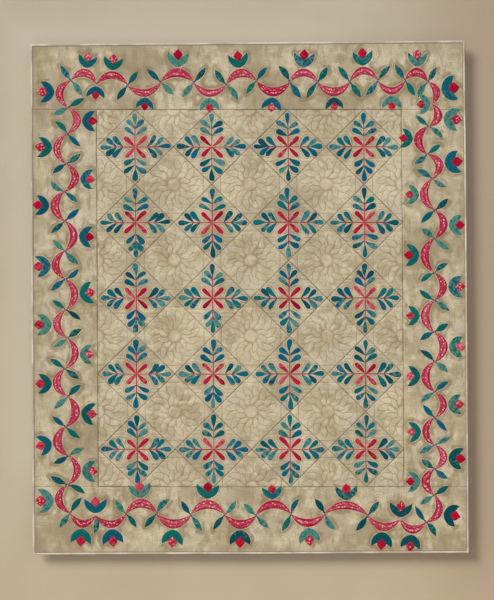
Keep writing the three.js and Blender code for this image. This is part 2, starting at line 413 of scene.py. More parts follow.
class Finish:
    """A material in the making, with short words for the nodes that cloth and wood need."""

    def __init__(self, name, roughness=0.9, sheen=0.0, specular=0.2):
        self.material = bpy.data.materials.new(name)
        self.material.use_nodes = True
        self.tree = self.material.node_tree
        self.shader = self.tree.nodes["Principled BSDF"]
        self.shader.inputs["Roughness"].default_value = roughness
        self.shader.inputs["Specular IOR Level"].default_value = specular
        self.shader.inputs["Sheen Weight"].default_value = sheen
        self.shader.inputs["Sheen Roughness"].default_value = 0.5
        self.spot = self.tree.nodes.new("ShaderNodeTexCoord").outputs["Object"]

    def parts(self, vector):
        """The three parts of a vector socket, as wires."""
        split = self.tree.nodes.new("ShaderNodeSeparateXYZ")
        self.tree.links.new(vector, split.inputs[0])
        return [Wire(self.tree, socket) for socket in split.outputs]

    def attribute(self, name, kind="Vector"):
        """An attribute of the piece: three wires, or one where kind is Fac."""
        node = self.tree.nodes.new("ShaderNodeAttribute")
        node.attribute_name = name
        if kind == "Vector":
            return self.parts(node.outputs[kind])
        return Wire(self.tree, node.outputs[kind])

    def spot_parts(self):
        """The place on the object as three wires."""
        return self.parts(self.spot)

    def cloud(self, scale, detail=3.0, stretch=(1, 1, 1), turn=(0, 0, 0)):
        """Soft noise from 0 to 1, with that many lumps to the metre, stretched along a side."""
        mapping = self.tree.nodes.new("ShaderNodeMapping")
        mapping.inputs["Scale"].default_value = stretch
        mapping.inputs["Rotation"].default_value = turn
        self.tree.links.new(self.spot, mapping.inputs["Vector"])
        noise = self.tree.nodes.new("ShaderNodeTexNoise")
        noise.inputs["Scale"].default_value = scale
        noise.inputs["Detail"].default_value = detail
        self.tree.links.new(mapping.outputs[0], noise.inputs["Vector"])
        return Wire(self.tree, noise.outputs["Fac"])

    def specks(self, scale):
        """Distance to the nearest of many scattered dots, in units of their spacing."""
        cells = self.tree.nodes.new("ShaderNodeTexVoronoi")
        cells.inputs["Scale"].default_value = scale
        self.tree.links.new(self.spot, cells.inputs["Vector"])
        return Wire(self.tree, cells.outputs["Distance"])

    def mix(self, amount, first, second):
        """first where amount is 0 and second where it is 1; each is a colour or a socket."""
        node = self.tree.nodes.new("ShaderNodeMix")
        node.data_type = "RGBA"
        node.clamp_factor = True
        for slot, value in ((node.inputs[0], amount), (node.inputs[6], first),
                            (node.inputs[7], second)):
            if isinstance(value, Wire):
                self.tree.links.new(value.socket, slot)
            elif isinstance(value, bpy.types.NodeSocket):
                self.tree.links.new(value, slot)
            else:
                slot.default_value = value
        return node.outputs[2]

    def over(self, amount, tint):
        """Lays a tint over the colour so far, by that amount."""
        self.colour = self.mix(amount, self.colour, tint)

    def weave(self, pitch):
        """Threads over and under: sin across times sin along the height, from -1 to 1."""
        x, _, z = self.spot_parts()
        return sine(x * (TAU / pitch)) * sine(z * (TAU / pitch))

    def done(self, height=None, strength=1.0, rough=None):
        """Plugs in the colour, the bump's height in metres, and the roughness."""
        self.tree.links.new(self.colour, self.shader.inputs["Base Color"])
        if rough is not None:
            self.tree.links.new(rough.socket, self.shader.inputs["Roughness"])
        if height is not None:
            bump = self.tree.nodes.new("ShaderNodeBump")
            bump.inputs["Distance"].default_value = 1.0
            bump.inputs["Strength"].default_value = strength
            self.tree.links.new(height.socket, bump.inputs["Height"])
            self.tree.links.new(bump.outputs[0], self.shader.inputs["Normal"])
        return self.material


CREAM_LIGHT = tone(207, 199, 174)
CREAM = tone(191, 182, 156)
CREAM_DARK = tone(168, 156, 130)
STAIN = tone(146, 132, 106)
LILAC = tone(196, 188, 178)
THREAD = tone(128, 106, 74)
DITCH = tone(90, 84, 60)
print("cream in linear light:", np.round(CREAM, 3))

# %% [markdown]
# The three cream cloths of the top differ only in their quilting, in how stained they are and in the
# border's painted shade, so one function makes them all. It takes the function that measures the
# distance to the
# thread, and works it out a second time inside the material.

# %% Cream cottons of the top
STITCH = 4.6 * MM


def dashed(x, y, low, high):
    """The stitches of a line of any slope: sin(kx) + sin(1.13 ky) changes sign every half
    stitch, and the ramp from low to high makes dashes of it."""
    return ramp(sine(x * (TAU / STITCH)) + sine(y * (1.13 * TAU / STITCH)), low, high)


def cream_cotton(name, lines, stain=0.5, eye=False, border=False):
    """Cream cotton with its quilting thread, from large clouds of stain to fine threads, and painted
    shade a few millimetres either side of each line of thread. With eye, a brown ring shows round
    the dahlia's eye; with border, painted shade lies in a broken band round the vine, a painted
    shadow line runs just inside the binding with a band of stain beyond it, and the thread is
    fainter."""
    cloth = Finish(name, roughness=0.88, sheen=0.12, specular=0.15)
    x, y, near = cloth.attribute("flat")
    seam = cloth.attribute("seam", "Fac")
    distance = lines(x, y, near)
    broad = cloth.cloud(5.0, 4.0)
    patchy = cloth.cloud(24.0, 3.0)
    brushed = cloth.cloud(70.0, 3.0, stretch=(0.30, 1, 1), turn=(0, 0.7, 0))
    crossed = cloth.cloud(60.0, 3.0, stretch=(0.30, 1, 1), turn=(0, -1.1, 0))
    cloth.colour = cloth.mix(ramp(broad, 0.36, 0.66), CREAM_DARK, CREAM)
    cloth.over(ramp(patchy, 0.44, 0.70) * 0.75, CREAM_LIGHT)
    cloth.over(ramp(brushed, 0.50, 0.72) * 0.45, CREAM_DARK)
    cloth.over(ramp(crossed, 0.54, 0.74) * 0.40, CREAM_LIGHT)
    cloth.over(ramp(cloth.cloud(9.0, 3.0, turn=(1.3, 0.2, 0.4)), 0.56, 0.70) * 0.45, LILAC)
    blot = cloth.cloud(3.1, 5.0, turn=(0.3, 1.1, 0.2))
    cloth.over(ramp(blot, 0.48, 0.68) * stain, STAIN)
    if eye:
        out = root(x * x + y * y)
        ring = ramp(out, EYE * 0.45, EYE * 0.95) * (1 - ramp(out, EYE, EYE * 1.4))
        brown = ramp(cloth.cloud(28.0, 2.0, turn=(0.2, 0.5, 0.9)), 0.42, 0.62)
        cloth.over(ring * brown * 0.50, tone(158, 126, 90))
    if border:
        # Painted shade: a broken dark band a few millimetres out from the sewn-on vine, where the
        # raised patches would shade the ground cloth.
        reach = cloth.cloud(30.0, 2.0, turn=(1.0, 0.2, 0.6))
        painted_shade_round_vine = ramp(near, 1 * MM, 4 * MM) * (1 - ramp(near, reach * (18 * MM), reach * (44 * MM)))
        patch = ramp(cloth.cloud(11.0, 2.0, turn=(0.4, 0.9, 0.1)), 0.46, 0.58)
        cloth.over(painted_shade_round_vine * patch * 0.78, tone(132, 118, 88))
        scrub = ramp(cloth.cloud(42.0, 3.0, stretch=(1, 1, 0.35), turn=(0, 0.3, 0)), 0.50, 0.68)
        cloth.over(scrub * 0.60, tone(146, 132, 103))
    extra_dark = ramp(cloth.cloud(13.0, 2.0, turn=(0.9, 0.1, 0.5)), 0.34, 0.62)
    thread = 1 - ramp(distance, 0.7 * MM, 2.2 * MM)
    thread = thread * (0.55 + 0.45 * dashed(x, y, -0.9, -0.2))
    cloth.over(thread * (0.26 * extra_dark if border else 0.36 + 0.34 * extra_dark), THREAD)
    # Painted shade along the quilting valleys, up to 5 mm either side of the thread.
    painted_valley_shade = 1 - ramp(distance, 0.0, 5 * MM)
    cloth.over(painted_valley_shade * (0.03 if border else 0.07), THREAD)
    ditch = (1 - ramp(seam, 0.3 * MM, 2.9 * MM)) * (0.30 + 0.55 * extra_dark)
    cloth.over(ditch, DITCH)
    if border:
        rim = smaller(TOP_HALF_WIDTH - abs(x), TOP_HALF_HEIGHT - abs(y))
        # Painted shadow line just inside the binding; the wider band after it is stain.
        cloth.over((1 - ramp(rim, 9 * MM, 15 * MM)) * 0.75, tone(106, 98, 82))
        cloth.over((1 - ramp(rim, 10 * MM, 60 * MM)) * 0.30, STAIN)
    height = ramp(distance, 0.0, 3.0 * MM) * (0.0002 if border else 0.0003)
    height = height + cloth.weave(1.1 * MM) * 0.00005 + brushed * 0.0004
    return cloth.done(height, strength=0.8)


plain_cream = cream_cotton("plain_block_cream", dahlia_lines, stain=0.25, eye=True)
cross_cream = cream_cotton("cross_block_cream", cross_block_lines, stain=0.25)
border_cream = cream_cotton("border_cream", border_lines, stain=0.75, border=True)
print("cream cottons:", [m.name for m in bpy.data.materials])

# %% [markdown]
# The leaves are cut from teal cotton, and no two have faded alike. Each leaf carries three
# random numbers that choose between a deep teal, a blue and a paler green, and the position
# along and across the leaf darkens its turned edge and draws a faint vein.

# %% Teal and red cottons of the sewn-on shapes
def leaf_cotton(name, deep, middle, pale, blue, dotted=False):
    """Patch cotton. tint holds the patch's own random numbers, along its own coordinates.
    Where dotted, about one patch in four is cut from a print of pink dots."""
    cloth = Finish(name, roughness=0.88, sheen=0.03, specular=0.06)
    shade, hue, wear = cloth.attribute("tint")
    side = abs(cloth.attribute("along")[1])
    wash = cloth.cloud(70.0, 3.0)
    fleck = cloth.cloud(240.0, 2.0)
    cloth.colour = cloth.mix(ramp(wash * 0.55 + shade * 0.6, 0.30, 0.90), deep, middle)
    cloth.over(ramp(hue, 0.45, 0.90) * 0.70, blue)
    cloth.over(ramp(wash + wear * 0.5, 0.74, 1.05) * 0.75, pale)
    cloth.over(ramp(fleck, 0.56, 0.74) * 0.35, pale)
    cloth.over((1 - ramp(side, 0.02, 0.20)) * 0.30, deep)
    if dotted:
        dots = (1 - ramp(cloth.specks(100.0), 0.25, 0.45)) * ramp(hue, 0.74, 0.76)
        cloth.over(dots * (1 - ramp(side, 0.6, 0.8)) * 0.75, tone(222, 170, 174))
    cloth.over(ramp(side, 0.72, 1.0) * 0.45, deep)
    height = fleck * 0.0002 + cloth.weave(1.0 * MM) * 0.00005
    return cloth.done(height, strength=0.8)


def calico_cotton(name):
    """Printed red calico. With t across the patch, streaks of pink and deep red follow
    sin(7t + 9 noise), pale dots lie on the pink, and the red edge is whipped down with beads
    of thread, one every 9 mm."""
    cloth = Finish(name, roughness=0.88, sheen=0.04, specular=0.08)
    shade, hue, wear = cloth.attribute("tint")
    _, t, metres = cloth.attribute("along")
    side = abs(t)
    lumps = cloth.cloud(60.0, 3.0)
    streak = sine(t * 7.0 + lumps * 9.0 + hue * TAU) * 0.5 + 0.5
    pink = cloth.mix(shade * 0.8, tone(166, 46, 74), tone(190, 96, 116))
    cloth.colour = cloth.mix(ramp(streak, 0.40, 0.80) * (0.45 + 0.45 * wear), pink,
                             tone(150, 12, 48))
    dots = 1 - ramp(cloth.specks(110.0), 0.22, 0.46)
    cloth.over(dots * (1 - ramp(streak, 0.3, 0.6)) * 0.85, tone(226, 198, 198))
    beads = 0.70 + 0.30 * sine(metres * (TAU / (9 * MM)))
    cloth.over(ramp(side, 0.40, 0.62) * beads, tone(152, 2, 44))
    height = lumps * 0.0003 + beads * ramp(side, 0.6, 0.8) * 0.0003
    return cloth.done(height, strength=0.8)


field_teal = leaf_cotton("field_teal", tone(0, 68, 84), tone(8, 102, 112),
                         tone(98, 146, 138), tone(0, 88, 126))
border_teal = leaf_cotton("border_teal", tone(0, 64, 74), tone(2, 100, 96),
                          tone(92, 144, 130), tone(0, 82, 112))
field_red = leaf_cotton("field_red", tone(138, 2, 40), tone(172, 30, 60),
                        tone(198, 100, 112), tone(164, 16, 52))
bud_red = leaf_cotton("bud_red", tone(140, 0, 38), tone(176, 8, 48),
                      tone(194, 84, 100), tone(168, 34, 62), dotted=True)
calico = calico_cotton("border_calico")
print("patch cottons:", field_teal.name, border_teal.name, field_red.name, calico.name)

# %% [markdown]
# ## Sewn-on patches
# A patch is cut from cloth, its edge is turned under and whipped down, and it stands a little
# proud of the ground. Here it is a ribbon: a centre line with a half width along it, and
# seven points across, which dip below the ground at the rims and rise to a low dome between.
# Many patches are worked out at once, as one block of numbers.

# %% Patch helpers
ACROSS = np.array([-1, -0.84, -0.45, 0, 0.45, 0.84, 1])
DOME = np.array([-0.9, 0.60, 1.10, 1.25, 1.10, 0.60, -0.9]) * MM
BATCH = 3000


def along(sections):
    """Steps from 0 to 1 that crowd at both ends: (1 − cos πk) / 2."""
    return (1 - np.cos(np.linspace(0, math.pi, sections))) / 2


def bowed(start, end, bow, s):
    """Centre lines from start to end that swell sideways by bow × length × 4s(1−s)."""
    run = end - start
    side = np.stack([-run[:, 1], run[:, 0]], axis=-1)
    return (start[:, None] + run[:, None] * s[None, :, None]
            + side[:, None] * (bow[:, None] * 4 * s * (1 - s))[..., None])


def spread(lines, halves):
    """The seven flat spots of every section, square to the centre line."""
    steps = np.gradient(lines, axis=1)
    steps /= np.linalg.norm(steps, axis=-1, keepdims=True) + 1e-12
    side = np.stack([-steps[..., 1], steps[..., 0]], axis=-1)
    return lines[:, :, None] + side[:, :, None] * (halves[:, :, None] * ACROSS)[..., None]


def rims(shapes):
    """Points along both rims of all the patches, with one more between neighbours."""
    edges = []
    for lines, halves, _ in shapes:
        rim = spread(lines, halves)[:, :, [0, -1]]
        edges += [rim.reshape(-1, 2), ((rim[:, 1:] + rim[:, :-1]) / 2).reshape(-1, 2)]
    return np.concatenate(edges)


def nearest(spots, outline):
    """Distance from each spot to the nearest outline point: √(p² + q² − 2pq), in batches."""
    squares = (outline**2).sum(-1)
    found = np.empty(len(spots))
    for first in range(0, len(spots), BATCH):
        part = spots[first:first + BATCH]
        gap = (part**2).sum(-1)[:, None] + squares - 2 * part @ outline.T
        found[first:first + BATCH] = np.sqrt(np.maximum(gap.min(axis=1), 0))
    return found


def sew(name, shapes, ground, material, seed):
    """All the patches of one piece. Each cross-section is a closed loop of seven points, so a
    patch is a tube with a cap at each end; ground gives the cloth's height under a spot."""
    rng = np.random.default_rng(seed)
    wide = len(ACROSS)
    points, quads, caps, places, tints, first = [], [], [], [], [], 0
    for lines, halves, lift in shapes:
        patches, sections = halves.shape
        whole = (patches, sections, wide)
        spots = spread(lines, halves).reshape(-1, 2)
        rise = np.broadcast_to(DOME * lift, whole).ravel()
        points.append(place(spots[:, 0], spots[:, 1], ground(spots) + rise))
        k = first + np.arange(patches * sections * wide).reshape(whole)
        quads.append(tube_quads(k))
        caps += [k[:, 0], k[:, -1, ::-1]]
        steps = np.linalg.norm(np.diff(lines, axis=1), axis=-1)
        length = np.concatenate([np.zeros((patches, 1)), steps.cumsum(axis=1)], axis=1)
        share = (length / length[:, -1:])[..., None]
        marks = [np.broadcast_to(part, whole).ravel() for part in (share, ACROSS, length[..., None])]
        places.append(np.column_stack(marks))
        tint = rng.uniform(0, 1, (patches, 1, 3))
        tints.append(np.broadcast_to(tint, (patches, sections * wide, 3)).reshape(-1, 3))
        first += k.size
    return new_piece(name, np.concatenate(points), [np.concatenate(quads), np.concatenate(caps)],
                     material, along=np.concatenate(places), tint=np.concatenate(tints))


print("a patch with 12 sections has", 12 * len(ACROSS), "points")

# %% [markdown]
# ## The cross block
# Twenty blocks carry the same figure: a thin red cross of stems, four red petals on the
# slants, and on each arm two pairs of leaves and one at the tip. The figure is drawn once on
# an arm that points up, then turned. Small seeded shifts keep the blocks from being copies.

# %% Lay out one cross block
# Millimetres from the block's middle. A pair of leaves is where it leaves the stem, and how
# far aside and how far out its tips lie; the upright arms differ a little from the level ones.
UPRIGHT_PAIRS = ((54, 53, 90), (88, 46, 126))
LEVEL_PAIRS = ((56, 53, 98), (88, 44, 131))
END_LEAF = (105, 166)
LEAF_HALF, END_LEAF_HALF, STEM_HALF = 12.9, 12.8, 2.7
STEM_REACH = 106 * MM
LEAF_SECTIONS, STEM_SECTIONS = 13, 24
LEAF_LIFT, PETAL_LIFT, STEM_LIFT = 1.0, 1.25, 0.8


def turned(spots, quarter):
    """Spots turned by that many quarter turns to the left."""
    c, s = round(math.cos(quarter * math.pi / 2)), round(math.sin(quarter * math.pi / 2))
    return spots @ np.array([[c, s], [-s, c]])


def leaf_widths(s, half):
    """A leaf that is narrow at its stem and round outside: 1.6 half · s^0.8 · √(1 − s^4.5)."""
    return 1.6 * half[:, None] * np.maximum(s**0.8 * np.sqrt(np.maximum(1 - s**4.5, 0)), 0.03)


def petal_widths(s, half):
    """A paddle: half · s^0.45 · √(1 − s^7)."""
    return half[:, None] * np.maximum(s**0.45 * np.sqrt(np.maximum(1 - s**7, 0)), 0.03)


def cross_figure(centre, seed):
    """Leaves, petals and stems of one block as (centre lines, half widths, lift)."""
    rng = np.random.default_rng(seed)
    starts, ends, halves, bows = [], [], [], []
    for quarter in range(4):
        upright = quarter % 2 == 0
        sweep = rng.normal(0, 5.0 if upright else 2.5)
        for out, aside, reach in UPRIGHT_PAIRS if upright else LEVEL_PAIRS:
            for side in (-1, 1):
                starts.append(turned(np.array([side * 2.0, out]), quarter))
                ends.append(turned(np.array([side * (aside + sweep), reach - sweep]), quarter))
                halves.append(LEAF_HALF)
                bows.append(0.05 * side)
        starts.append(turned(np.array([0, END_LEAF[0]]), quarter))
        ends.append(turned(np.array([0, END_LEAF[1]]), quarter))
        halves.append(END_LEAF_HALF)
        bows.append(0)
    count = len(starts)
    ends = np.array(ends) + rng.normal(0, 2.4, (count, 2))
    halves = np.array(halves) * rng.uniform(0.86, 1.14, count)
    bows = np.array(bows) + rng.normal(0, 0.03, count)
    s = along(LEAF_SECTIONS)
    leaves = (centre + bowed(np.array(starts), ends, bows, s) * MM,
              leaf_widths(s, halves) * MM, LEAF_LIFT)
    slants = np.array([turned(np.array([1.0, 1.0]), q) for q in range(4)])
    tips = slants * rng.uniform(47, 53, (4, 1)) + rng.normal(0, 1.5, (4, 2))
    petals = (centre + bowed(slants * 5, tips, rng.normal(0, 0.03, 4), s) * MM,
              petal_widths(s, rng.uniform(13.5, 15.5, 4)) * MM, PETAL_LIFT)
    t = np.linspace(0, 1, STEM_SECTIONS)
    arms = np.array([[[0, -STEM_REACH], [0, STEM_REACH]], [[-STEM_REACH, 0], [STEM_REACH, 0]]])
    stems = (centre + bowed(arms[:, 0], arms[:, 1], rng.normal(0, 0.004, 2), t),
             np.full((2, STEM_SECTIONS), STEM_HALF * MM), STEM_LIFT)
    return leaves, petals, stems


figure = cross_figure(np.zeros(2), 1)
print("patches in a cross block:", sum(len(shape[1]) for shape in figure))

# %% [markdown]
# ## The pieced top
# Fifty-four pieces of cloth make the top. Each is a fine grid whose height comes from the
# distance to its quilting and to its own seams: low where the thread pulls it down, full
# between. The same shape serves for a whole block, and a triangle is half or a quarter of one.

# %% Make the cross blocks
VALLEY, FULLNESS, PUFF_HALF = 3.5 * MM, 1.2 * MM, 7.0 * MM
TOP_CLOTH = 0.6 * MM
BLOCK_STEPS, CORNER_STEPS = 62, 44
FAR = 9.0


def cloth_height(lines, edge, depth=1.0):
    """Height of the top from the distances to its thread and to its seam. A seam draws the
    cloth right down, and thread only by its share depth."""
    thread = 1 - depth * (1 - puff(lines, PUFF_HALF))
    return VALLEY + FULLNESS * np.minimum(thread, puff(np.maximum(edge, 0), PUFF_HALF))


def top_piece(node, spots, faces, centre, lines, near, edge, material, seam=None, depth=1):
    """One piece of the top, bent into place and given its thickness. edge is the distance to
    its own edge, and seam the distance to the seams that show as a dark line."""
    local = spots - centre
    height = cloth_height(lines(local[:, 0], local[:, 1], near), edge, depth)
    piece = new_piece("cloth_" + node, place(spots[:, 0], spots[:, 1], height), faces, material,
                      flat=np.column_stack([local, near]), seam=edge if seam is None else seam)
    thicken(piece, TOP_CLOTH)
    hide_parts(node)
    return piece


def block_grid():
    """A square on its point: a and b run along its sides, x = (a − b)/√2, y = (a + b)/√2."""
    half = (BLOCK - SEAM_GAP) / 2
    a, b = np.meshgrid(np.linspace(-half, half, BLOCK_STEPS), np.linspace(-half, half, BLOCK_STEPS))
    spots = np.stack([(a - b).ravel(), (a + b).ravel()], axis=-1) / math.sqrt(2)
    edge = half - np.maximum(np.abs(a), np.abs(b)).ravel()
    return spots, grid_quads(BLOCK_STEPS, BLOCK_STEPS), edge


block_spots, block_faces, block_edge = block_grid()
for row in range(1, ROWS + 1):
    for column in range(1, COLUMNS + 1):
        seed = 100 * row + column
        centre = np.array([(column - (COLUMNS + 1) / 2) * PITCH, ((ROWS + 1) / 2 - row) * PITCH])
        leaves, petals, stems = cross_figure(centre, seed)
        outline = rims([leaves, petals, stems])
        spots = block_spots + centre
        node = f"flower_block_{row}_{column}"
        piece = top_piece(node, spots, [block_faces], centre, cross_block_lines,
                          nearest(spots, outline), block_edge, cross_cream)

        def block_ground(at, centre=centre, outline=outline):
            """Height of this block's cloth under a spot."""
            local = at - centre
            edge = BLOCK / 2 - np.maximum(abs(local[:, 0] + local[:, 1]),
                                          abs(local[:, 0] - local[:, 1])) / math.sqrt(2)
            lines = cross_block_lines(local[:, 0], local[:, 1], nearest(at, outline))
            return cloth_height(lines, edge)

        tag = f"{row}_{column}"
        sewn = [sew("leaves_" + tag, [leaves], block_ground, field_teal, seed),
                sew("petals_" + tag, [petals], block_ground, field_red, seed + 1000),
                sew("stems_" + tag, [stems], block_ground, field_red, seed + 2000)]
print("cross blocks:", ROWS * COLUMNS, "with", len(block_spots), "points each")

# %% [markdown]
# The plain blocks sit between the cross blocks, and the triangles fill the field's edges. A
# triangle is cut from the same lattice, so its dahlia is a half or a quarter one, centred on
# the field's edge or corner.

# %% Make the plain blocks
no_near = np.ones(len(block_spots))
for row in range(1, ROWS):
    for column in range(1, COLUMNS):
        centre = np.array([(column - COLUMNS / 2) * PITCH, (ROWS / 2 - row) * PITCH])
        piece = top_piece(f"plain_block_{row}_{column}", block_spots + centre, [block_faces],
                          centre, dahlia_lines, no_near, block_edge, plain_cream)
print("plain blocks:", (ROWS - 1) * (COLUMNS - 1))


# %% Make the side and corner triangles
def triangle_grid(corners, steps):
    """Points P = A + (B − A)·i/n + (C − B)·j/n with j up to i, and the small triangles
    between them, plus each point's distance to the nearest side."""
    a, b, c = (np.array(corner, dtype=float) for corner in corners)
    i, j = np.tril_indices(steps + 1)
    spots = a + (b - a) * (i / steps)[:, None] + (c - b) * (j / steps)[:, None]
    number = np.zeros((steps + 2, steps + 2), dtype=int)
    number[i, j] = np.arange(len(i))
    i0, j0 = np.tril_indices(steps)
    faces = [np.stack([number[i0, j0], number[i0 + 1, j0], number[i0 + 1, j0 + 1]], axis=-1)]
    inner = j0 < i0
    i1, j1 = i0[inner], j0[inner]
    faces.append(np.stack([number[i1, j1], number[i1 + 1, j1 + 1], number[i1, j1 + 1]], axis=-1))
    edge = np.full(len(spots), FAR)
    for start, end in ((a, b), (b, c), (c, a)):
        run = (end - start) / np.linalg.norm(end - start)
        aside = (spots - start) @ np.array([-run[1], run[0]])
        edge = np.minimum(edge, np.abs(aside))
    return spots, np.concatenate(faces), edge


def field_triangle(node, centre, first, between, second):
    """A triangle with corners at those three offsets from centre, cut a seam's gap smaller."""
    corners = np.array(centre) + np.array([first, between, second])
    middle = corners.mean(axis=0)
    corners = middle + (corners - middle) * (1 - SEAM_GAP / (BLOCK / 4))
    turn = np.cross(corners[1] - corners[0], corners[2] - corners[1])
    if turn < 0:
        corners = corners[::-1]
    spots, faces, edge = triangle_grid(corners, BLOCK_STEPS if abs(turn) > 0.05 else CORNER_STEPS)
    legs = np.sort(np.linalg.norm(corners - np.roll(corners, 1, axis=0), axis=1))[:2]
    piece = top_piece(node, spots, [faces], np.array(centre), dahlia_lines, np.ones(len(spots)),
                      edge, plain_cream)
    float(legs.prod() / 2)
    return piece


half = PITCH / 2
triangles = []
for side, upward in (("top", 1), ("bottom", -1)):
    for number in range(1, COLUMNS):
        centre = ((number - COLUMNS / 2) * PITCH, upward * FIELD_HALF_HEIGHT)
        triangles.append(field_triangle(f"side_triangle_{side}_{number}", centre,
                                        (-half, 0), (0, -upward * half), (half, 0)))
for side, rightward in (("left", -1), ("right", 1)):
    for number in range(1, ROWS):
        centre = (rightward * FIELD_HALF_WIDTH, (ROWS / 2 - number) * PITCH)
        triangles.append(field_triangle(f"side_triangle_{side}_{number}", centre,
                                        (0, half), (-rightward * half, 0), (0, -half)))
for height, upward in (("top", 1), ("bottom", -1)):
    for side, rightward in (("left", -1), ("right", 1)):
        centre = (rightward * FIELD_HALF_WIDTH, upward * FIELD_HALF_HEIGHT)
        triangles.append(field_triangle(f"corner_triangle_{height}_{side}", centre,
                                        (-rightward * half, 0), (0, 0), (0, -upward * half)))
print("triangles:", len(triangles))

# %% [markdown]
# ## The winding border
# Red calico crescents follow one another round the border, swinging outwards and inwards in
# turn; at the four places near the corners where two outward ones meet, a bud stands in the
# crook. A pair of leaves crosses at each other joint. The joints are the maker's own uneven
# spacing, in millimetres from the quilt's middle, taken clockwise from the upper left.

# %% The joints of the vine
TOP_JOINTS = [(-850, 1049), (-731, 1029), (-582, 1026), (-424, 1040), (-267, 1038), (-111, 1026),
              (33, 1044), (193, 1038), (326, 1038), (482, 1038), (618, 1044), (750, 1045)]
RIGHT_JOINTS = [(858, 1036), (878, 939), (861, 831), (854, 694), (876, 575), (889, 424),
                (884, 288), (884, 122), (882, -10), (880, -163), (881, -307), (881, -451),
                (879, -576), (879, -710), (877, -825), (875, -950)]
BOTTOM_JOINTS = [(833, -1074), (709, -1060), (553, -1044), (347, -1034), (185, -1036),
                 (17, -1042), (-131, -1038), (-293, -1040), (-456, -1034), (-601, -1034),
                 (-745, -1040)]
LEFT_JOINTS = [(-864, -1030), (-876, -902), (-870, -761), (-884, -620), (-872, -475),
               (-886, -340), (-872, -192), (-879, -56), (-881, 92), (-882, 227), (-882, 372),
               (-884, 514), (-873, 648), (-869, 795), (-865, 923)]
SIDES = ("top", "right", "bottom", "left")
joint_lists = (TOP_JOINTS, RIGHT_JOINTS, BOTTOM_JOINTS, LEFT_JOINTS)
joints = np.concatenate(joint_lists) * MM
side_of = np.repeat(range(4), [len(some) for some in joint_lists])
corner_joint = np.r_[True, side_of[1:] != side_of[:-1]]
# For each joint, whether the crescent that starts there swings outwards or inwards.
SWINGS = "ooioioioioio" + "ooioioioioioioio" + "ooioioioioo" + "oioioioioioioio"
swing = np.array([1 if letter == "o" else -1 for letter in SWINGS])
print("joints:", len(joints), "swings:", len(swing))

# %% [markdown]
# A crescent's centre line bows away from the straight line between its joints like a sine
# arch, and its half width is a sine too, so it is pointed at both ends. On its outer curve
# stands a cup of two leaves joined at the foot, with a bud between them. The leaf that
# crosses a joint leans over the side where the next crescent swings away.

# %% Crescents, leaves, cups and buds
ARCH, CRESCENT_HALF = 45, 21.0
CRESCENT_LIFT, CUP_LIFT, BUD_LIFT, LEAF_PAIR_LIFT = 1.25, 1.1, 1.7, 1.0
# Millimetres: a cup's height, half span and half thickness, how far out its bud's middle
# lies, and the bud's length. Cups on the outer curve are larger than those on the inner one.
OUTER_CUP = (70, 48, 17.5, 60, 52)
INNER_CUP = (62, 47, 16.0, 50, 46)
LOWER_THICK = 20.0
CUP_REACH = 86 * MM
RIM_MARGIN = 7 * MM
TOP_SHARE = 0.90
LEAF_LEAN = 38
BUD_JOINTS = np.flatnonzero((swing == 1) & (np.roll(swing, 1) == 1) & ~corner_joint)
rng = np.random.default_rng(77)

joint_end = np.roll(joints, -1, axis=0)
chord = joint_end - joints
chord_length = np.linalg.norm(chord, axis=1)
forth = chord / chord_length[:, None]
outward = np.stack([-forth[:, 1], forth[:, 0]], axis=-1)
arch = np.minimum(ARCH * MM, 0.36 * chord_length) * rng.uniform(0.93, 1.08, len(joints))
crescent_half = CRESCENT_HALF * MM * rng.uniform(0.88, 1.12, len(joints))


def crescents(chosen):
    """With s along the chord, arch · sin(πs)^0.8 away from it, and half width sin(πs)^0.75."""
    s = along(29)
    hump = np.sin(math.pi * s) ** 0.8
    away = (outward * swing[:, None] * arch[:, None])[chosen]
    lines = joints[chosen][:, None] + chord[chosen][:, None] * s[None, :, None]
    lines = lines + away[:, None] * hump[None, :, None]
    taper = np.maximum(np.sin(math.pi * s), 0.0005) ** 0.75
    return lines, crescent_half[chosen][:, None] * taper, CRESCENT_LIFT


def cup(foot, facing, height, span, thick):
    """Both leaves of a cup as one ribbon. With f from -1 to 1 it runs aside by
    span · (0.65 sin(fπ/2) + 0.35 f) and rises as |f|^1.3, so it folds to a V inside and is
    round outside. Its half width is thick · (1 − |f|³) · (1 + 0.12 sin(π|f|))."""
    f = np.linspace(-1, 1, 29)
    f = np.sign(f) * np.abs(f) ** 0.8
    side = np.stack([facing[:, 1], -facing[:, 0]], axis=-1)
    sideways = span[:, None] * (0.65 * np.sin(f * math.pi / 2) + 0.35 * f)
    rise = thick[:, None] + (height - thick)[:, None] * np.abs(f) ** 1.3
    lines = foot[:, None] + side[:, None] * sideways[..., None] + facing[:, None] * rise[..., None]
    taper = (1 - np.abs(f) ** 3) * (1 + 0.12 * np.sin(np.abs(f) * math.pi))
    return lines, thick[:, None] * np.maximum(taper, 0.03), CUP_LIFT


def bud(middle, facing, length, half):
    """A rounded diamond: half · (1 − |2s − 1|^1.35)."""
    s = along(13)
    lines = bowed(middle - facing * length[:, None] / 2, middle + facing * length[:, None] / 2,
                  np.zeros(len(middle)), s)
    shape = 1 - np.abs(2 * s - 1) ** 1.35
    return lines, half[:, None] * np.maximum(shape, 0.04), BUD_LIFT


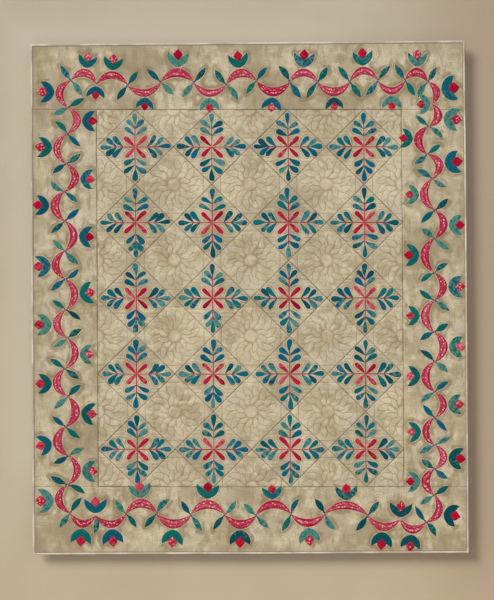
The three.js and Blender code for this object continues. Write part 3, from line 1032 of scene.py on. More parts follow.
def cups_and_buds(chosen):
    """The cup and bud of each crescent in chosen, and of the bud joints among them. An outer
    one is held small enough to stay inside the raw edge."""
    facing = (outward * swing[:, None])[chosen]
    foot = (joints + chord / 2)[chosen] + facing * (arch + crescent_half)[chosen][:, None]
    crook = np.intersect1d(chosen, BUD_JOINTS)
    inward = -(outward[crook] + outward[crook - 1])
    inward /= np.linalg.norm(inward, axis=1, keepdims=True)
    foot = np.concatenate([foot + facing * 1 * MM, joints[crook] + inward * 6 * MM])
    facing = np.concatenate([facing, inward])
    outer = np.concatenate([swing[chosen] == 1, np.zeros(len(crook), dtype=bool)])
    turn = rng.normal(0, 0.07, len(foot))
    facing = np.stack([facing[:, 0] * np.cos(turn) - facing[:, 1] * np.sin(turn),
                       facing[:, 0] * np.sin(turn) + facing[:, 1] * np.cos(turn)], axis=-1)
    side = side_of[np.concatenate([chosen, crook])]
    size = rng.uniform(0.94, 1.10, len(foot)) * np.where(side == 0, TOP_SHARE, 1.0)
    room = ([TOP_HALF_WIDTH, TOP_HALF_HEIGHT] - np.abs(foot)) / np.maximum(np.abs(facing), 0.2)
    most = (room.min(axis=1) - RIM_MARGIN) / CUP_REACH
    size = np.where(outer, np.minimum(size, most), size)
    height, span, thick, reach, length = (
        np.where(outer, large, small) * MM * size for large, small in zip(OUTER_CUP, INNER_CUP))
    lower = outer & ((side == 1) | (side == 2))
    thick = np.where(lower, LOWER_THICK * MM * size, thick)
    buds = bud(foot + facing * reach[:, None], facing, length, length * 0.50)
    return cup(foot, facing, height, span, thick), buds


def leaf_pairs(chosen):
    """Two pointed leaves back to back at each joint, square to the vine and leaning by
    LEAF_LEAN. One more hangs by itself from the last joint of the bottom."""
    lone = np.intersect1d(chosen, np.flatnonzero(side_of == 2)[-1:])
    chosen = np.setdiff1d(chosen, BUD_JOINTS)
    square = outward[chosen] + outward[chosen - 1]
    square /= np.linalg.norm(square, axis=1, keepdims=True)
    forward = np.stack([square[:, 1], -square[:, 0]], axis=-1)
    lean = np.where(swing[chosen] == -1, 1, np.where(swing[chosen - 1] == -1, -1, 0))
    angle = lean * math.radians(LEAF_LEAN) + rng.normal(0, 0.08, len(chosen))
    aim = square * np.cos(angle)[:, None] + forward * np.sin(angle)[:, None]
    s = along(14)
    both = np.concatenate([aim, -aim, outward[lone]])
    start = joints[np.concatenate([chosen, chosen, lone])] + both * 2 * MM
    length = rng.uniform(76, 90, len(both)) * MM
    halves = rng.uniform(13.5, 17.0, len(both)) * MM
    lines = bowed(start, start + both * length[:, None], rng.normal(0, 0.05, len(both)), s)
    blade = np.maximum(np.sin(math.pi * np.clip(s * 1.08 - 0.08, 0, 1)), 0.002) ** 0.9
    return lines, halves[:, None] * np.maximum(blade, 0.30 * (1 - s) ** 2), LEAF_PAIR_LIFT


vine = []
for number, side in enumerate(SIDES):
    chosen = np.flatnonzero(side_of == number)
    cups, buds = cups_and_buds(chosen)
    vine.append((crescents(chosen), leaf_pairs(chosen), cups, buds))
vine_outline = rims([shape for group in vine for shape in group])
print("crescents:", len(joints), "bud joints:", BUD_JOINTS, "outline spots:", len(vine_outline))

# %% [markdown]
# The four border pieces are long grids. The upper and lower ones run the whole width and the
# side ones fit between them. Their quilting follows the vine, so the distance to the vine is
# worked out for every point first. Only the field's own edge shows as a dark line.

# %% Make the border cloths and sew the vine on
BORDER_STEP = 5 * MM
BORDER_DEPTH = 0.45
FLAT_SEAM = 4 * MM


def rectangle(left, right, low, high, step):
    """Flat spots over a rectangle, about step apart, and the quads between them."""
    columns, rows = (int(round(d / step)) + 1 for d in (right - left, high - low))
    x, z = np.meshgrid(np.linspace(left, right, columns), np.linspace(low, high, rows))
    return np.stack([x.ravel(), z.ravel()], axis=-1), grid_quads(rows, columns)


def near_vine(spots):
    """Distance to the vine, looking only at the outline spots round about."""
    low, high = spots.min(axis=0) - 0.07, spots.max(axis=0) + 0.07
    close = ((vine_outline > low) & (vine_outline < high)).all(axis=1)
    return nearest(spots, vine_outline[close])


def border_edge(spots):
    """Distance to the nearest seam or raw edge of the border cloths. The seams that join one
    border to the next lie nearly flat, as if they were FLAT_SEAM away."""
    across, up = np.abs(spots[:, 0]), np.abs(spots[:, 1])
    ends = np.abs(up - FIELD_HALF_HEIGHT)
    ends = np.where(across > FIELD_HALF_WIDTH, ends + FLAT_SEAM, ends)
    sides = np.where(up < FIELD_HALF_HEIGHT, np.abs(across - FIELD_HALF_WIDTH), FAR)
    return np.minimum(np.minimum(ends, sides),
                      np.minimum(TOP_HALF_WIDTH - across, TOP_HALF_HEIGHT - up))


def field_line(spots):
    """Distance out to the field's own edge, which shows as a dark line."""
    beyond = np.maximum(np.abs(spots) - [FIELD_HALF_WIDTH, FIELD_HALF_HEIGHT], 0)
    return np.hypot(beyond[:, 0], beyond[:, 1])


def border_ground(spots):
    """Height of the border cloth under a spot."""
    distance = border_lines(spots[:, 0], spots[:, 1], near_vine(spots))
    return cloth_height(distance, border_edge(spots), BORDER_DEPTH)


gap = SEAM_GAP / 2
cut_lines = {
    "top": (-TOP_HALF_WIDTH, TOP_HALF_WIDTH, FIELD_HALF_HEIGHT + gap, TOP_HALF_HEIGHT),
    "right": (FIELD_HALF_WIDTH + gap, TOP_HALF_WIDTH, gap - FIELD_HALF_HEIGHT,
              FIELD_HALF_HEIGHT - gap),
    "bottom": (-TOP_HALF_WIDTH, TOP_HALF_WIDTH, -TOP_HALF_HEIGHT, -FIELD_HALF_HEIGHT - gap),
    "left": (-TOP_HALF_WIDTH, -FIELD_HALF_WIDTH - gap, gap - FIELD_HALF_HEIGHT,
             FIELD_HALF_HEIGHT - gap),
}
for number, side in enumerate(SIDES):
    left, right, low, high = cut_lines[side]
    spots, faces = rectangle(left, right, low, high, BORDER_STEP)
    piece = top_piece("border_" + side, spots, [faces], np.zeros(2), border_lines,
                      near_vine(spots), border_edge(spots), border_cream,
                      field_line(spots), BORDER_DEPTH)
    bent, leaves, cups, buds = vine[number]
    sewn = [sew("vine_crescents_" + side, [bent], border_ground, calico, 300 + number),
            sew("vine_leaves_" + side, [leaves], border_ground, border_teal, 310 + number),
            sew("vine_cups_" + side, [cups], border_ground, border_teal, 320 + number),
            sew("vine_buds_" + side, [buds], border_ground, bud_red, 330 + number)]
    right - left
    high - low
print("border cloths:", len(SIDES))

# %% [markdown]
# ## Batting, backing and binding
# Behind the top lies a thin layer of cotton batting, which swells into every puff but is out
# of sight, and behind that the backing. The backing is one sheet of muslin. The quilting
# pulls it in from behind, and its thread shows there as on the front.

# %% Materials of the inner and rear layers
FRAME_STEP = 24 * MM


def seen_from_behind(x, y):
    """The spot from its plain block's middle, and the distances to that block's seam and out
    to the field's edge. Plain blocks lie half a pitch from the cross blocks, so wrapping a
    spot by one pitch finds its own block."""
    px, py = wrapped(x, PITCH), wrapped(y - PITCH / 2, PITCH)
    inside = PITCH / 2 - (abs(px) + abs(py))
    beyond = larger(abs(x) - FIELD_HALF_WIDTH, abs(y) - FIELD_HALF_HEIGHT)
    return px, py, inside, beyond


def backing_lines(x, y):
    """Distance to the quilting on the back: dahlias, rows, and frames round the field."""
    px, py, inside, beyond = seen_from_behind(x, y)
    plain = ramp(inside, -0.1 * MM, 0.1 * MM)
    rows = abs(wrapped(wrapped(y, PITCH), ROW_STEP))
    block = smaller(plain * dahlia_lines(px, py) + (1 - plain) * rows,
                    abs(inside) / math.sqrt(2))
    outside = ramp(beyond, -0.1 * MM, 0.1 * MM)
    return outside * abs(wrapped(beyond, FRAME_STEP)) + (1 - outside) * block


def muslin(name):
    """Unbleached muslin with the quilting's dashes."""
    cloth = Finish(name, roughness=0.9, sheen=0.12, specular=0.15)
    x, y, _ = cloth.attribute("flat")
    distance = backing_lines(x, y)
    cloth.colour = cloth.mix(ramp(cloth.cloud(3.0, 5.0), 0.30, 0.70), tone(200, 190, 166),
                             tone(216, 208, 188))
    cloth.over(ramp(cloth.cloud(110.0, 2.0, stretch=(0.3, 1, 1)), 0.5, 0.75) * 0.30,
               tone(184, 172, 146))
    thread = (1 - ramp(distance, 0.6 * MM, 1.6 * MM)) * dashed(x, y, -0.6, 0.1)
    cloth.over(thread * 0.6, tone(132, 116, 88))
    height = ramp(distance, 0.0, 5.0 * MM) * 0.0012 + cloth.weave(1.2 * MM) * 0.00005
    return cloth.done(height, strength=0.9)


def fibre(name):
    """Loose cotton fibre: pale, with seed flecks and a tangled surface."""
    wool = Finish(name, roughness=0.95, sheen=0.3, specular=0.1)
    tangle = wool.cloud(160.0, 5.0, stretch=(1, 1, 0.5))
    wool.colour = wool.mix(ramp(tangle, 0.35, 0.7), tone(196, 188, 168), tone(228, 222, 206))
    wool.over((1 - ramp(wool.specks(60.0), 0.03, 0.07)) * 0.6, tone(120, 96, 64))
    return wool.done(tangle * 0.002, strength=0.7)


backing_muslin = muslin("backing_muslin")
batting_fibre = fibre("batting_fibre_finish")
print("rear layers:", backing_muslin.name, batting_fibre.name)


# %% Make the batting and the backing
LAYER_RECTANGLE = (-TOP_HALF_WIDTH, TOP_HALF_WIDTH, -TOP_HALF_HEIGHT, TOP_HALF_HEIGHT)
BATTING_STEP, BACKING_STEP = 13 * MM, 11.2 * MM
BATTING_FRONT, BATTING_SWELL, BATTING_THICK = 2.4 * MM, 0.15 * MM, 1.3 * MM
DAHLIA_RING = 100 * MM
REAR_DENT, REAR_DENT_HALF, BACKING_THICK = 0.75 * MM, 26 * MM, 0.6 * MM

spots, faces = rectangle(*LAYER_RECTANGLE, BATTING_STEP)
swell = BATTING_SWELL * np.sin(spots[:, 0] * 90) * np.sin(spots[:, 1] * 80)
batting = new_piece("batting_layer", place(spots[:, 0], spots[:, 1], BATTING_FRONT + swell),
                    [faces], batting_fibre)
thicken(batting, BATTING_THICK)
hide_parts("batting")

spots, faces = rectangle(*LAYER_RECTANGLE, BACKING_STEP)
x, y = spots[:, 0], spots[:, 1]
px, py, inside, beyond = seen_from_behind(x, y)
ring = np.abs(np.hypot(px, py) - DAHLIA_RING)
block = np.minimum(np.abs(inside) / math.sqrt(2), ring + ROWS_FROM)
dent = np.where(beyond < 0, block, np.abs(wrapped(beyond, 2 * FRAME_STEP)))
rear = REAR_DENT * (1 - puff(dent, REAR_DENT_HALF))
backing = new_piece("backing_cloth_sheet", place(x, y, rear), [faces[:, ::-1]],
                    backing_muslin, flat=np.column_stack([x, y, 0 * x]))
thicken(backing, BACKING_THICK)
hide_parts("backing")

# %% [markdown]
# The binding is a strip folded over the raw edges of all the layers. Its section is a bent
# channel, swept round a loop whose corners are only just rounded, so that the square corners
# of the layers stay inside. Every point of the section has its own inset from the edge, so
# the loop closes in neat mitres by itself.

# %% Make the binding
CORNER_RADIUS = 2.6 * MM
INSETS = np.array([10.6, 9.6, 7.6, 5.0, 2.4, 0.8, 0.0, 0.2, 1.4, 4.0, 7.5, 10.0,
                   9.4, 6.0, 2.4, 1.2, 1.0, 2.0, 5.2, 9.0]) * MM
DEPTHS = np.array([3.3, 5.0, 6.5, 7.1, 6.7, 5.2, 3.2, 1.2, -0.4, -1.1, -1.0, -0.3,
                   0.1, -0.1, 0.1, 1.2, 3.4, 4.9, 5.9, 4.2]) * MM
OUTERMOST = 6
ARC_SPOTS, BINDING_STEP = 7, 5.5 * MM


def loop_at(inset):
    """Flat spots clockwise round the quilt at that inset. A corner's arc has the radius that
    is left, and each side runs straight between two arcs."""
    radius = max(CORNER_RADIUS - inset, 0.5 * MM)
    reach = np.array([HALF_WIDTH, HALF_HEIGHT]) - inset - radius
    arcs = []
    for quarter, signs in enumerate([(1, 1), (1, -1), (-1, -1), (-1, 1)]):
        turn = math.pi / 2 * (1 - quarter) - np.linspace(0, math.pi / 2, ARC_SPOTS)
        arcs.append(reach * signs + radius * np.stack([np.cos(turn), np.sin(turn)], axis=-1))
    path = []
    for quarter in range(4):
        start, end = arcs[quarter][-1], arcs[(quarter + 1) % 4][0]
        long_side = 2 * (HALF_HEIGHT if quarter % 2 == 0 else HALF_WIDTH)
        f = np.linspace(0, 1, int(long_side / BINDING_STEP))[1:-1, None]
        path += [arcs[quarter], start + (end - start) * f]
    return np.concatenate(path)


def binding_mesh():
    """Sections round the loop. The cloth puckers a little every 24 mm, where it was eased."""
    loops = np.stack([loop_at(inset) for inset in INSETS], axis=1)
    run = np.linalg.norm(np.diff(loops[:, OUTERMOST], axis=0), axis=1).cumsum()
    metres = np.concatenate([[0], run])
    pucker = 1 + 0.05 * np.sin(metres * TAU / 0.024) + 0.04 * np.sin(metres * TAU / 0.087)
    depth = DEPTHS[None, :] * np.where(DEPTHS > 5 * MM, pucker[:, None], 1)
    count, wide = depth.shape
    k = np.arange(count * wide).reshape(count, wide)
    faces = tube_quads(np.concatenate([k, k[:1]]), -1)
    flat = loops.reshape(-1, 2)
    points = place(flat[:, 0], flat[:, 1], depth.ravel())
    marks = np.column_stack([np.repeat(metres, wide), np.tile(INSETS, count), depth.ravel()])
    return points, faces, marks


def outward_faces(points, faces):
    """Turns a closed mesh the right way round: its volume Σ a · (b × c) / 6 is positive."""
    a, b, c, d = (points[faces[:, n]] for n in range(4))
    volume = (a * np.cross(b, c)).sum() + (a * np.cross(c, d)).sum()
    return faces if volume > 0 else faces[:, ::-1]


def binding_cotton(name):
    """Pale cotton with grey-lilac tints and whip stitches along its inner edge. Painted shade
    darkens its outer fold, more on the right and lower sides, and a painted shadow line runs along
    its inner edge.
    """
    cloth = Finish(name, roughness=0.85, sheen=0.12, specular=0.2)
    metres, inset, _ = cloth.attribute("along")
    cloth.colour = cloth.mix(ramp(cloth.cloud(9.0, 4.0), 0.38, 0.66), tone(178, 164, 150),
                             tone(208, 199, 190))
    cloth.over(ramp(cloth.cloud(120.0, 2.0), 0.5, 0.75) * 0.4, tone(168, 156, 154))
    # Painted shade along the binding's outer fold, twice as deep on the right and lower sides, away
    # from the light.
    rim = 1 - ramp(inset, 0.8 * MM, 2.6 * MM)
    x, _, z = cloth.spot_parts()
    extra_dark = larger(ramp(x, HALF_WIDTH - 30 * MM, HALF_WIDTH - 16 * MM),
                  ramp(-z, HALF_HEIGHT - MIDDLE - 30 * MM, HALF_HEIGHT - MIDDLE - 16 * MM))
    cloth.over(rim * (0.45 + 0.45 * extra_dark), tone(104, 92, 84))
    # Painted shadow line along the binding's inner edge, lighter where the whip stitches cross it.
    edge = ramp(inset, 8.4 * MM, 10.2 * MM)
    whip = ramp(sine(metres * (TAU / (5 * MM))), 0.0, 0.7)
    cloth.over(edge * (0.75 - 0.35 * whip), tone(104, 96, 84))
    height = cloth.weave(1.0 * MM) * 0.00005 + edge * whip * 0.0004
    return cloth.done(height, strength=0.8)


points, faces, marks = binding_mesh()
binding = new_piece("binding_strip", points, [outward_faces(points, faces)],
                    binding_cotton("binding_cotton"), along=marks)
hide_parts("binding")

# %% [markdown]
# ## The hanging sleeve
# A long sleeve of muslin is sewn to the backing, and the pole runs through it. Its section
# lies flat against the backing, turns over the top of the pole and comes down behind it to a
# second seam. Cloth between the two seams hangs a little loose, so it ripples.

# %% Make the sleeve
sleeve_low, sleeve_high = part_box("hanging_sleeve")
pole_low, pole_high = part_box("hanging_pole")
POLE_Y = (pole_low[1] + pole_high[1]) / 2
POLE_Z = (pole_low[2] + pole_high[2]) / 2
SLEEVE_RADIUS = sleeve_high[2] - POLE_Z
SLEEVE_CLOTH, SLEEVE_SECTIONS = 0.8 * MM, 170
HEM = 14 * MM


def sleeve_section():
    """Closed loop of (y, z) from the pole's axis: up the front wall, round the pole from 180°
    to the tangent point, and straight down to the foot. The last number is how loose each
    point is, from 0 at the seams to 1 between them."""
    front, foot = -SLEEVE_RADIUS, sleeve_low[2] - POLE_Z
    heel = np.array([front + 2 * MM, foot])
    reach = np.hypot(*heel)
    tangent = math.atan2(heel[1], heel[0]) + math.acos(SLEEVE_RADIUS / reach)
    up = np.linspace(foot, 0, 12)[:-1]
    turn = np.linspace(math.pi, tangent, 24)
    touch = SLEEVE_RADIUS * np.array([math.cos(tangent), math.sin(tangent)])
    down = np.linspace(0, 1, 16)[1:]
    y = np.concatenate([0 * up + front, SLEEVE_RADIUS * np.cos(turn),
                        touch[0] + (heel[0] - touch[0]) * down])
    z = np.concatenate([up, SLEEVE_RADIUS * np.sin(turn), touch[1] + (heel[1] - touch[1]) * down])
    loose = np.concatenate([0 * up, 0 * turn, np.sin(math.pi * down)])
    return y, z, loose


def sleeve_mesh():
    """The section carried along the quilt, with slanting ripples on the loose cloth."""
    y, z, loose = sleeve_section()
    x = np.linspace(sleeve_low[0], sleeve_high[0], SLEEVE_SECTIONS)
    ripple = (1.4 * np.sin(x * 23 + 0.6) + 1.0 * np.sin(x * 51 + 2.0) + 0.6 * np.sin(x * 97)) * MM
    slant = np.sin((x[:, None] * 31) + z[None, :] * 40)
    out = loose * (1.9 * MM + ripple[:, None] * 0.6 + slant * 0.5 * MM)
    points = np.stack([np.broadcast_to(x[:, None], out.shape), POLE_Y + y + out,
                       POLE_Z + np.broadcast_to(z, out.shape)], axis=-1)
    return points.reshape(-1, 3), tube_quads(np.arange(out.size).reshape(out.shape)), (y, z)


points, faces, section = sleeve_mesh()
faces = outward_faces(points - points.mean(axis=0), faces)


def sleeve_muslin(name):
    """Muslin with a hem at each end, turned under and stitched down at HEM."""
    cloth = Finish(name, roughness=0.9, sheen=0.12, specular=0.15)
    x, _, z = cloth.spot_parts()
    cloth.colour = cloth.mix(ramp(cloth.cloud(6.0, 4.0), 0.36, 0.66), tone(206, 197, 175),
                             tone(222, 215, 197))
    cloth.over(ramp(cloth.cloud(120.0, 2.0, stretch=(0.25, 1, 1)), 0.5, 0.75) * 0.30,
               tone(186, 174, 150))
    hem = sleeve_high[0] - abs(x)
    line = 1 - ramp(abs(hem - HEM), 0.5 * MM, 1.2 * MM)
    dashes = ramp(sine(z * (TAU / STITCH)), -0.3, 0.2)
    cloth.over(line * dashes * 0.7, tone(120, 104, 78))
    height = cloth.weave(1.2 * MM) * 0.00006 + ramp(hem, HEM - 1 * MM, HEM + 0.5 * MM) * -0.0005
    return cloth.done(height, strength=0.9)


sleeve = new_piece("sleeve_cloth", points, [faces], sleeve_muslin("sleeve_muslin"))
thicken(sleeve, SLEEVE_CLOTH)
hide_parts("hanging_sleeve")


# %% Whip stitches of the sleeve
THREAD_RADIUS, BULGE = 0.55 * MM, 0.5 * MM
STITCH_PITCH, STITCH_SLANT, END_MARGIN = 9.5 * MM, 3 * MM, 6 * MM


def thread_cotton(name):
    """Waxed thread: two plies twisted round each other."""
    thread = Finish(name, roughness=0.6, sheen=0.1, specular=0.4)
    x, _, z = thread.spot_parts()
    ply = sine((x + z * 2) * (TAU / (0.9 * MM)))
    pale = tone(196, 184, 156)
    thread.colour = thread.mix(ramp(ply, -1, 1), darker(pale, 0.7), pale)
    return thread.done(ply * 0.0001, strength=0.8)


def stitches(name, starts, ends, material):
    """Short threads from starts to ends, each a bowed tube of six points round and seven
    along: the middle stands BULGE proud towards the back, and the ends close to a point."""
    s = np.linspace(0, 1, 7)
    run = ends - starts
    lines = starts[:, None] + run[:, None] * s[None, :, None]
    lines[..., 1] += BULGE * 4 * s * (1 - s)
    angle = np.linspace(0, TAU, 7)[:-1]
    run /= np.linalg.norm(run, axis=1, keepdims=True)
    one = np.cross(run, [0, 1, 0])
    one /= np.linalg.norm(one, axis=1, keepdims=True)
    two = np.cross(run, one)
    swell = THREAD_RADIUS * np.maximum(np.sin(math.pi * s), 0.15) ** 0.4
    around = (one[:, None, None] * np.cos(angle)[None, None, :, None]
              + two[:, None, None] * np.sin(angle)[None, None, :, None])
    points = lines[:, :, None] + around * swell[None, :, None, None]
    k = np.arange(len(starts) * len(s) * len(angle)).reshape(len(starts), len(s), len(angle))
    caps = np.concatenate([k[:, 0, ::-1], k[:, -1]])
    return new_piece(name, points.reshape(-1, 3), [tube_quads(k, -1), caps], material)


rear_face = BACK_FACE + 0.2 * MM
stitch_x = np.arange(sleeve_low[0] + END_MARGIN, sleeve_high[0] - END_MARGIN, STITCH_PITCH)
# Each seam's stitches, as depth and height where they leave the sleeve and enter the backing.
SEAMS = (((rear_face + 3.4 * MM, sleeve_low[2] + 4 * MM), (rear_face, sleeve_low[2] - 3 * MM)),
         ((POLE_Y - 12.4 * MM, 9.8 * MM), (rear_face, 13.5 * MM)))
starts, ends = (np.concatenate([
    np.column_stack([stitch_x + slant, 0 * stitch_x + seam[end][0], 0 * stitch_x + seam[end][1]])
    for seam in SEAMS]) for end, slant in ((0, 0), (1, STITCH_SLANT)))
sewing = stitches("sleeve_stitches", starts, ends, thread_cotton("sewing_thread"))
print("whip stitches:", len(starts))

# %% [markdown]
# ## Wood and screws
# The pole and the rack keep the solid model's shapes. Their edges are welded and eased with a
# small bevel, as sandpaper does. Grain runs along the length of each: long soft bands from
# the growth rings, fine dark pores, and a satin oil finish.

# %% Wood for the pole and the rack
def oiled_wood(name, pale, dark, rings, centre):
    """Growth rings are circles round a line that lies off to one side, r = √(y² + z²), bent
    by slow noise along the grain. Pores are noise that is stretched along it."""
    wood = Finish(name, roughness=0.5, specular=0.4)
    _, y, z = wood.spot_parts()
    bend = wood.cloud(2.2, 3.0, stretch=(0.6, 2, 2))
    dy, dz = y - centre[0], z - centre[1]
    radius = root(dy * dy + dz * dz) + bend * 0.035
    ring = sine(radius * (TAU / rings))
    wood.colour = wood.mix(ramp(ring, -0.8, 1.0), pale, dark)
    pores = wood.cloud(420.0, 2.0, stretch=(0.03, 1, 1))
    wood.over(ramp(pores, 0.55, 0.72) * 0.55, darker(dark, 0.45))
    tint = wood.cloud(5.0, 3.0)
    wood.over(ramp(tint, 0.4, 0.7) * 0.3, darker(pale, 0.8))
    height = ramp(pores, 0.5, 0.75) * -0.0004 + ring * 0.00008
    return wood.done(height, strength=0.6, rough=0.42 + 0.2 * ramp(pores, 0.4, 0.8))


def finish_node(name, material, width):
    """Gives a CAD node its wood, welds its loose triangles and rounds its sharp edges."""
    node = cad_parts[name]
    if not node.material_slots:
        node.data.materials.append(None)
    for slot in node.material_slots:
        slot.material = material
    weld = node.modifiers.new("weld", "WELD")
    weld.merge_threshold = 0.02 * MM
    bevel = node.modifiers.new("eased_edges", "BEVEL")
    bevel.width = width
    bevel.segments = 2
    bevel.limit_method = "ANGLE"
    bevel.angle_limit = math.radians(40)
    return node


rack = finish_node("wall_rack", oiled_wood("rack_oak", tone(178, 132, 84), tone(136, 92, 52),
                                           11 * MM, (-0.16, 0.02)), 1.2 * MM)
pole = finish_node("hanging_pole", oiled_wood("pole_ash", tone(196, 158, 110), tone(158, 118, 74),
                                              5 * MM, (-0.06, 0.015)), 0.8 * MM)
print("wood:", rack.name, pole.name)


# %% Screws in the rack's board
BOARD_FACE, END_HOLE = -18 * MM, 119.5 * MM
HEAD_RADIUS, DOME_HEIGHT, SKIRT = 4.8 * MM, 1.1 * MM, 0.5 * MM
SLOT_DEPTH, RIM_NICK, HEAD_BACK = 0.9 * MM, 0.3 * MM, 0.6 * MM


def screw_metal(name):
    """Brass that has dulled: a warm metal with cloudy tarnish."""
    metal = Finish(name, roughness=0.35, specular=0.5)
    metal.shader.inputs["Metallic"].default_value = 1.0
    dull = metal.cloud(300.0, 3.0)
    metal.colour = metal.mix(ramp(dull, 0.4, 0.65), tone(178, 142, 84), tone(118, 92, 56))
    return metal.done(dull * 0.0002, strength=0.5, rough=0.28 + 0.3 * ramp(dull, 0.4, 0.7))


def screw_heads(name, centres, material):
    """Slotted heads: a dome h (1 − (r/R)²) on rings and spokes, cut by a slot where the
    distance from the slot's line is small, and closed behind by a short skirt."""
    ring = np.concatenate([np.linspace(0.02, 0.96, 15), [1.0, 1.0]]) * HEAD_RADIUS
    spokes = np.linspace(0, TAU, 49)[:-1]
    r, a = np.meshgrid(ring, spokes, indexing="ij")
    points, quads, backs, caps, first = [], [], [], [], 0
    for number, x in enumerate(centres):
        aside = np.abs(r * np.sin(a - (0.5 + number * 1.1)))
        slot = 1 - ramp(aside, 0.45 * MM, 0.75 * MM)
        rise = DOME_HEIGHT * (1 - (r / HEAD_RADIUS) ** 2) + SKIRT - slot * np.where(
            r < 0.97 * HEAD_RADIUS, SLOT_DEPTH, RIM_NICK)
        rise[-1] = -HEAD_BACK
        head = np.stack([x + r * np.cos(a), BOARD_FACE - rise, r * np.sin(a)], -1)
        points += [head.reshape(-1, 3), np.array([[x, BOARD_FACE + HEAD_BACK, 0.0]])]
        k = first + np.arange(r.size).reshape(r.shape)
        quads.append(tube_quads(k))
        backs.append(np.stack([k[-1], np.full(len(spokes), first + r.size),
                               np.roll(k[-1], -1)], axis=-1))
        caps.append(k[0][None, ::-1])
        first += r.size + 1
    return new_piece(name, np.concatenate(points),
                     [np.concatenate(group) for group in (quads, backs, caps)], material,
                     body="rack")


rack_low, rack_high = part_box("wall_rack")
reach = (rack_high[0] - rack_low[0]) / 2 - END_HOLE
screw_places = np.linspace(-reach, reach, 4)
screw_heads("board_screws", screw_places, screw_metal("dull_brass"))
print("screws at", np.round(screw_places, 3))

# %% [markdown]
# ## The room
# A plain warm wall stands just behind the rack, so the quilt can throw its soft shadow on it,
# with a pale floor below. The wall lets itself be seen through from behind and lets light
# pass, so the quilt's rear can be looked at and lit as well.

# %% Wall and floor
WALL_GAP = 2 * MM
FLOOR_Z = MIDDLE - HALF_HEIGHT - 0.30


def flat_stage(name, corners, material):
    """One flat quad of the room, which isn't part of the object."""
    mesh = bpy.data.meshes.new(name)
    mesh.from_pydata([tuple(float(v) for v in c) for c in corners], [], [(0, 1, 2, 3)])
    mesh.materials.append(material)
    made = bpy.data.objects.new(name, mesh)
    bpy.context.collection.objects.link(made)
    return made


def wall_paint(name):
    """Warm off-white plaster, browner towards the right and the foot, with painted light near the
    quilt's left and upper edges. Its back is clear."""
    paint = Finish(name, roughness=0.95, specular=0.1)
    x, _, z = paint.spot_parts()
    cloud = paint.cloud(2.5, 3.0)
    paint.colour = paint.mix(ramp(cloud, 0.35, 0.7) * 0.5, tone(185, 176, 156), tone(175, 165, 145))
    paint.over(ramp(x, 0.60, 1.15) * 0.80, tone(164, 146, 126))
    paint.over(ramp(-z, 2.2, 2.8) * 0.45, tone(190, 168, 142))
    # Painted light: the plaster is paler close round the quilt, fading towards the right and the
    # foot.
    outside = larger(abs(x) - HALF_WIDTH, abs(z - MIDDLE) - HALF_HEIGHT)
    painted_light_near_quilt = (1 - ramp(outside, 0.0, 0.20)) * (1 - ramp(x, 0.2, 0.9)) * ramp(z, -2.3, -1.9)
    paint.over(painted_light_near_quilt * 0.75, tone(194, 188, 170))
    paint.done()
    clear = paint.tree.nodes.new("ShaderNodeBsdfTransparent")
    side = paint.tree.nodes.new("ShaderNodeNewGeometry")
    blend = paint.tree.nodes.new("ShaderNodeMixShader")
    out = paint.tree.nodes["Material Output"]
    paint.tree.links.new(side.outputs["Backfacing"], blend.inputs[0])
    paint.tree.links.new(paint.shader.outputs[0], blend.inputs[1])
    paint.tree.links.new(clear.outputs[0], blend.inputs[2])
    paint.tree.links.new(blend.outputs[0], out.inputs["Surface"])
    return paint.material


def floor_paint(name):
    """Pale, almost plain paint."""
    paint = Finish(name, roughness=0.8, specular=0.2)
    paint.colour = paint.mix(ramp(paint.cloud(3.0, 3.0), 0.35, 0.7), tone(203, 195, 179),
                             tone(201, 193, 177))
    return paint.done()


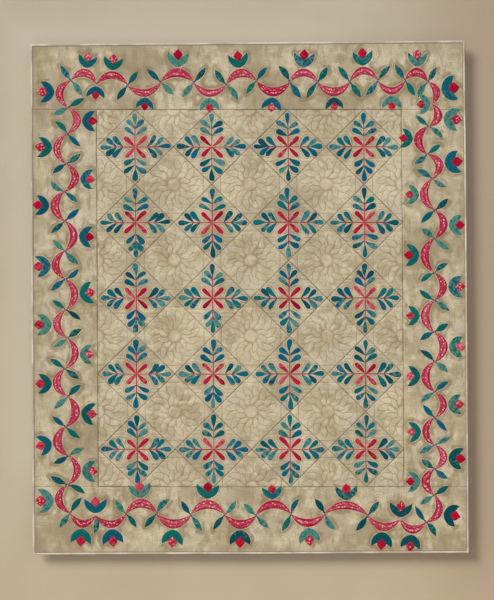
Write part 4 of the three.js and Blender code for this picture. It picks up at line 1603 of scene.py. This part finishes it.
WALL_HALF, WALL_TOP, FLOOR_HALF = 4, 1.6, 7
wall = flat_stage("wall", [(-WALL_HALF, WALL_GAP, FLOOR_Z), (WALL_HALF, WALL_GAP, FLOOR_Z),
                           (WALL_HALF, WALL_GAP, WALL_TOP), (-WALL_HALF, WALL_GAP, WALL_TOP)],
                  wall_paint("wall_plaster"))
wall.visible_shadow = False
wall.visible_diffuse = False
flat_stage("floor", [(x * FLOOR_HALF, y * FLOOR_HALF, FLOOR_Z)
                     for x, y in ((-1, -1), (1, -1), (1, 1), (-1, 1))], floor_paint("floor_paint"))
print("floor at", round(FLOOR_Z, 3))

# %% [markdown]
# One broad light comes from the upper left at about 45°, which rakes the puffs and throws the
# shadow to the lower right. The sky fills the rest, a little rosy. A second broad light from
# behind reaches the back of the quilt, and its light isn't passed on to what lies in front.

# %% Light and camera
def add_sun(name, energy, colour, place_at, spread):
    """A broad sun that shines from place_at towards the origin."""
    data = bpy.data.lights.new(name, "SUN")
    data.energy = energy
    data.color = colour
    data.angle = math.radians(spread)
    lamp = bpy.data.objects.new(name, data)
    bpy.context.collection.objects.link(lamp)
    lamp.location = place_at
    lamp.rotation_euler = (-Vector(place_at)).to_track_quat("-Z", "Y").to_euler()
    return data


add_sun("key", 2.6, (1.0, 0.98, 0.86), (-1.0, -1.0, 0.93), 24)
rear_fill = add_sun("rear_fill", 3.4, (1.0, 0.98, 0.95), (-0.8, 1.6, 1.2), 30)
rear_fill.cycles.max_bounces = 0
world = bpy.data.worlds.new("room_air")
bpy.context.scene.world = world
world.use_nodes = True
sky = world.node_tree.nodes["Background"]
sky.inputs["Color"].default_value = (0.59, 0.56, 0.61, 1)
sky.inputs["Strength"].default_value = 1.0
bpy.context.scene.view_settings.view_transform = "Standard"

FRAME_HEIGHT = 2.874
CAMERA_DISTANCE = 9.0
CAMERA_ASIDE, CAMERA_DROP = -0.011, 0.0095
SENSOR = 36.0
camera_data = bpy.data.cameras.new("camera")
camera_data.sensor_width = SENSOR
camera_data.lens = SENSOR * CAMERA_DISTANCE / FRAME_HEIGHT
camera = bpy.data.objects.new("camera", camera_data)
bpy.context.collection.objects.link(camera)
camera.location = (CAMERA_ASIDE, binding_low[1] - CAMERA_DISTANCE, MIDDLE - CAMERA_DROP)
camera.rotation_euler = (math.pi / 2, 0, 0)
bpy.context.scene.camera = camera
print("lens", round(camera_data.lens, 1), "mm")
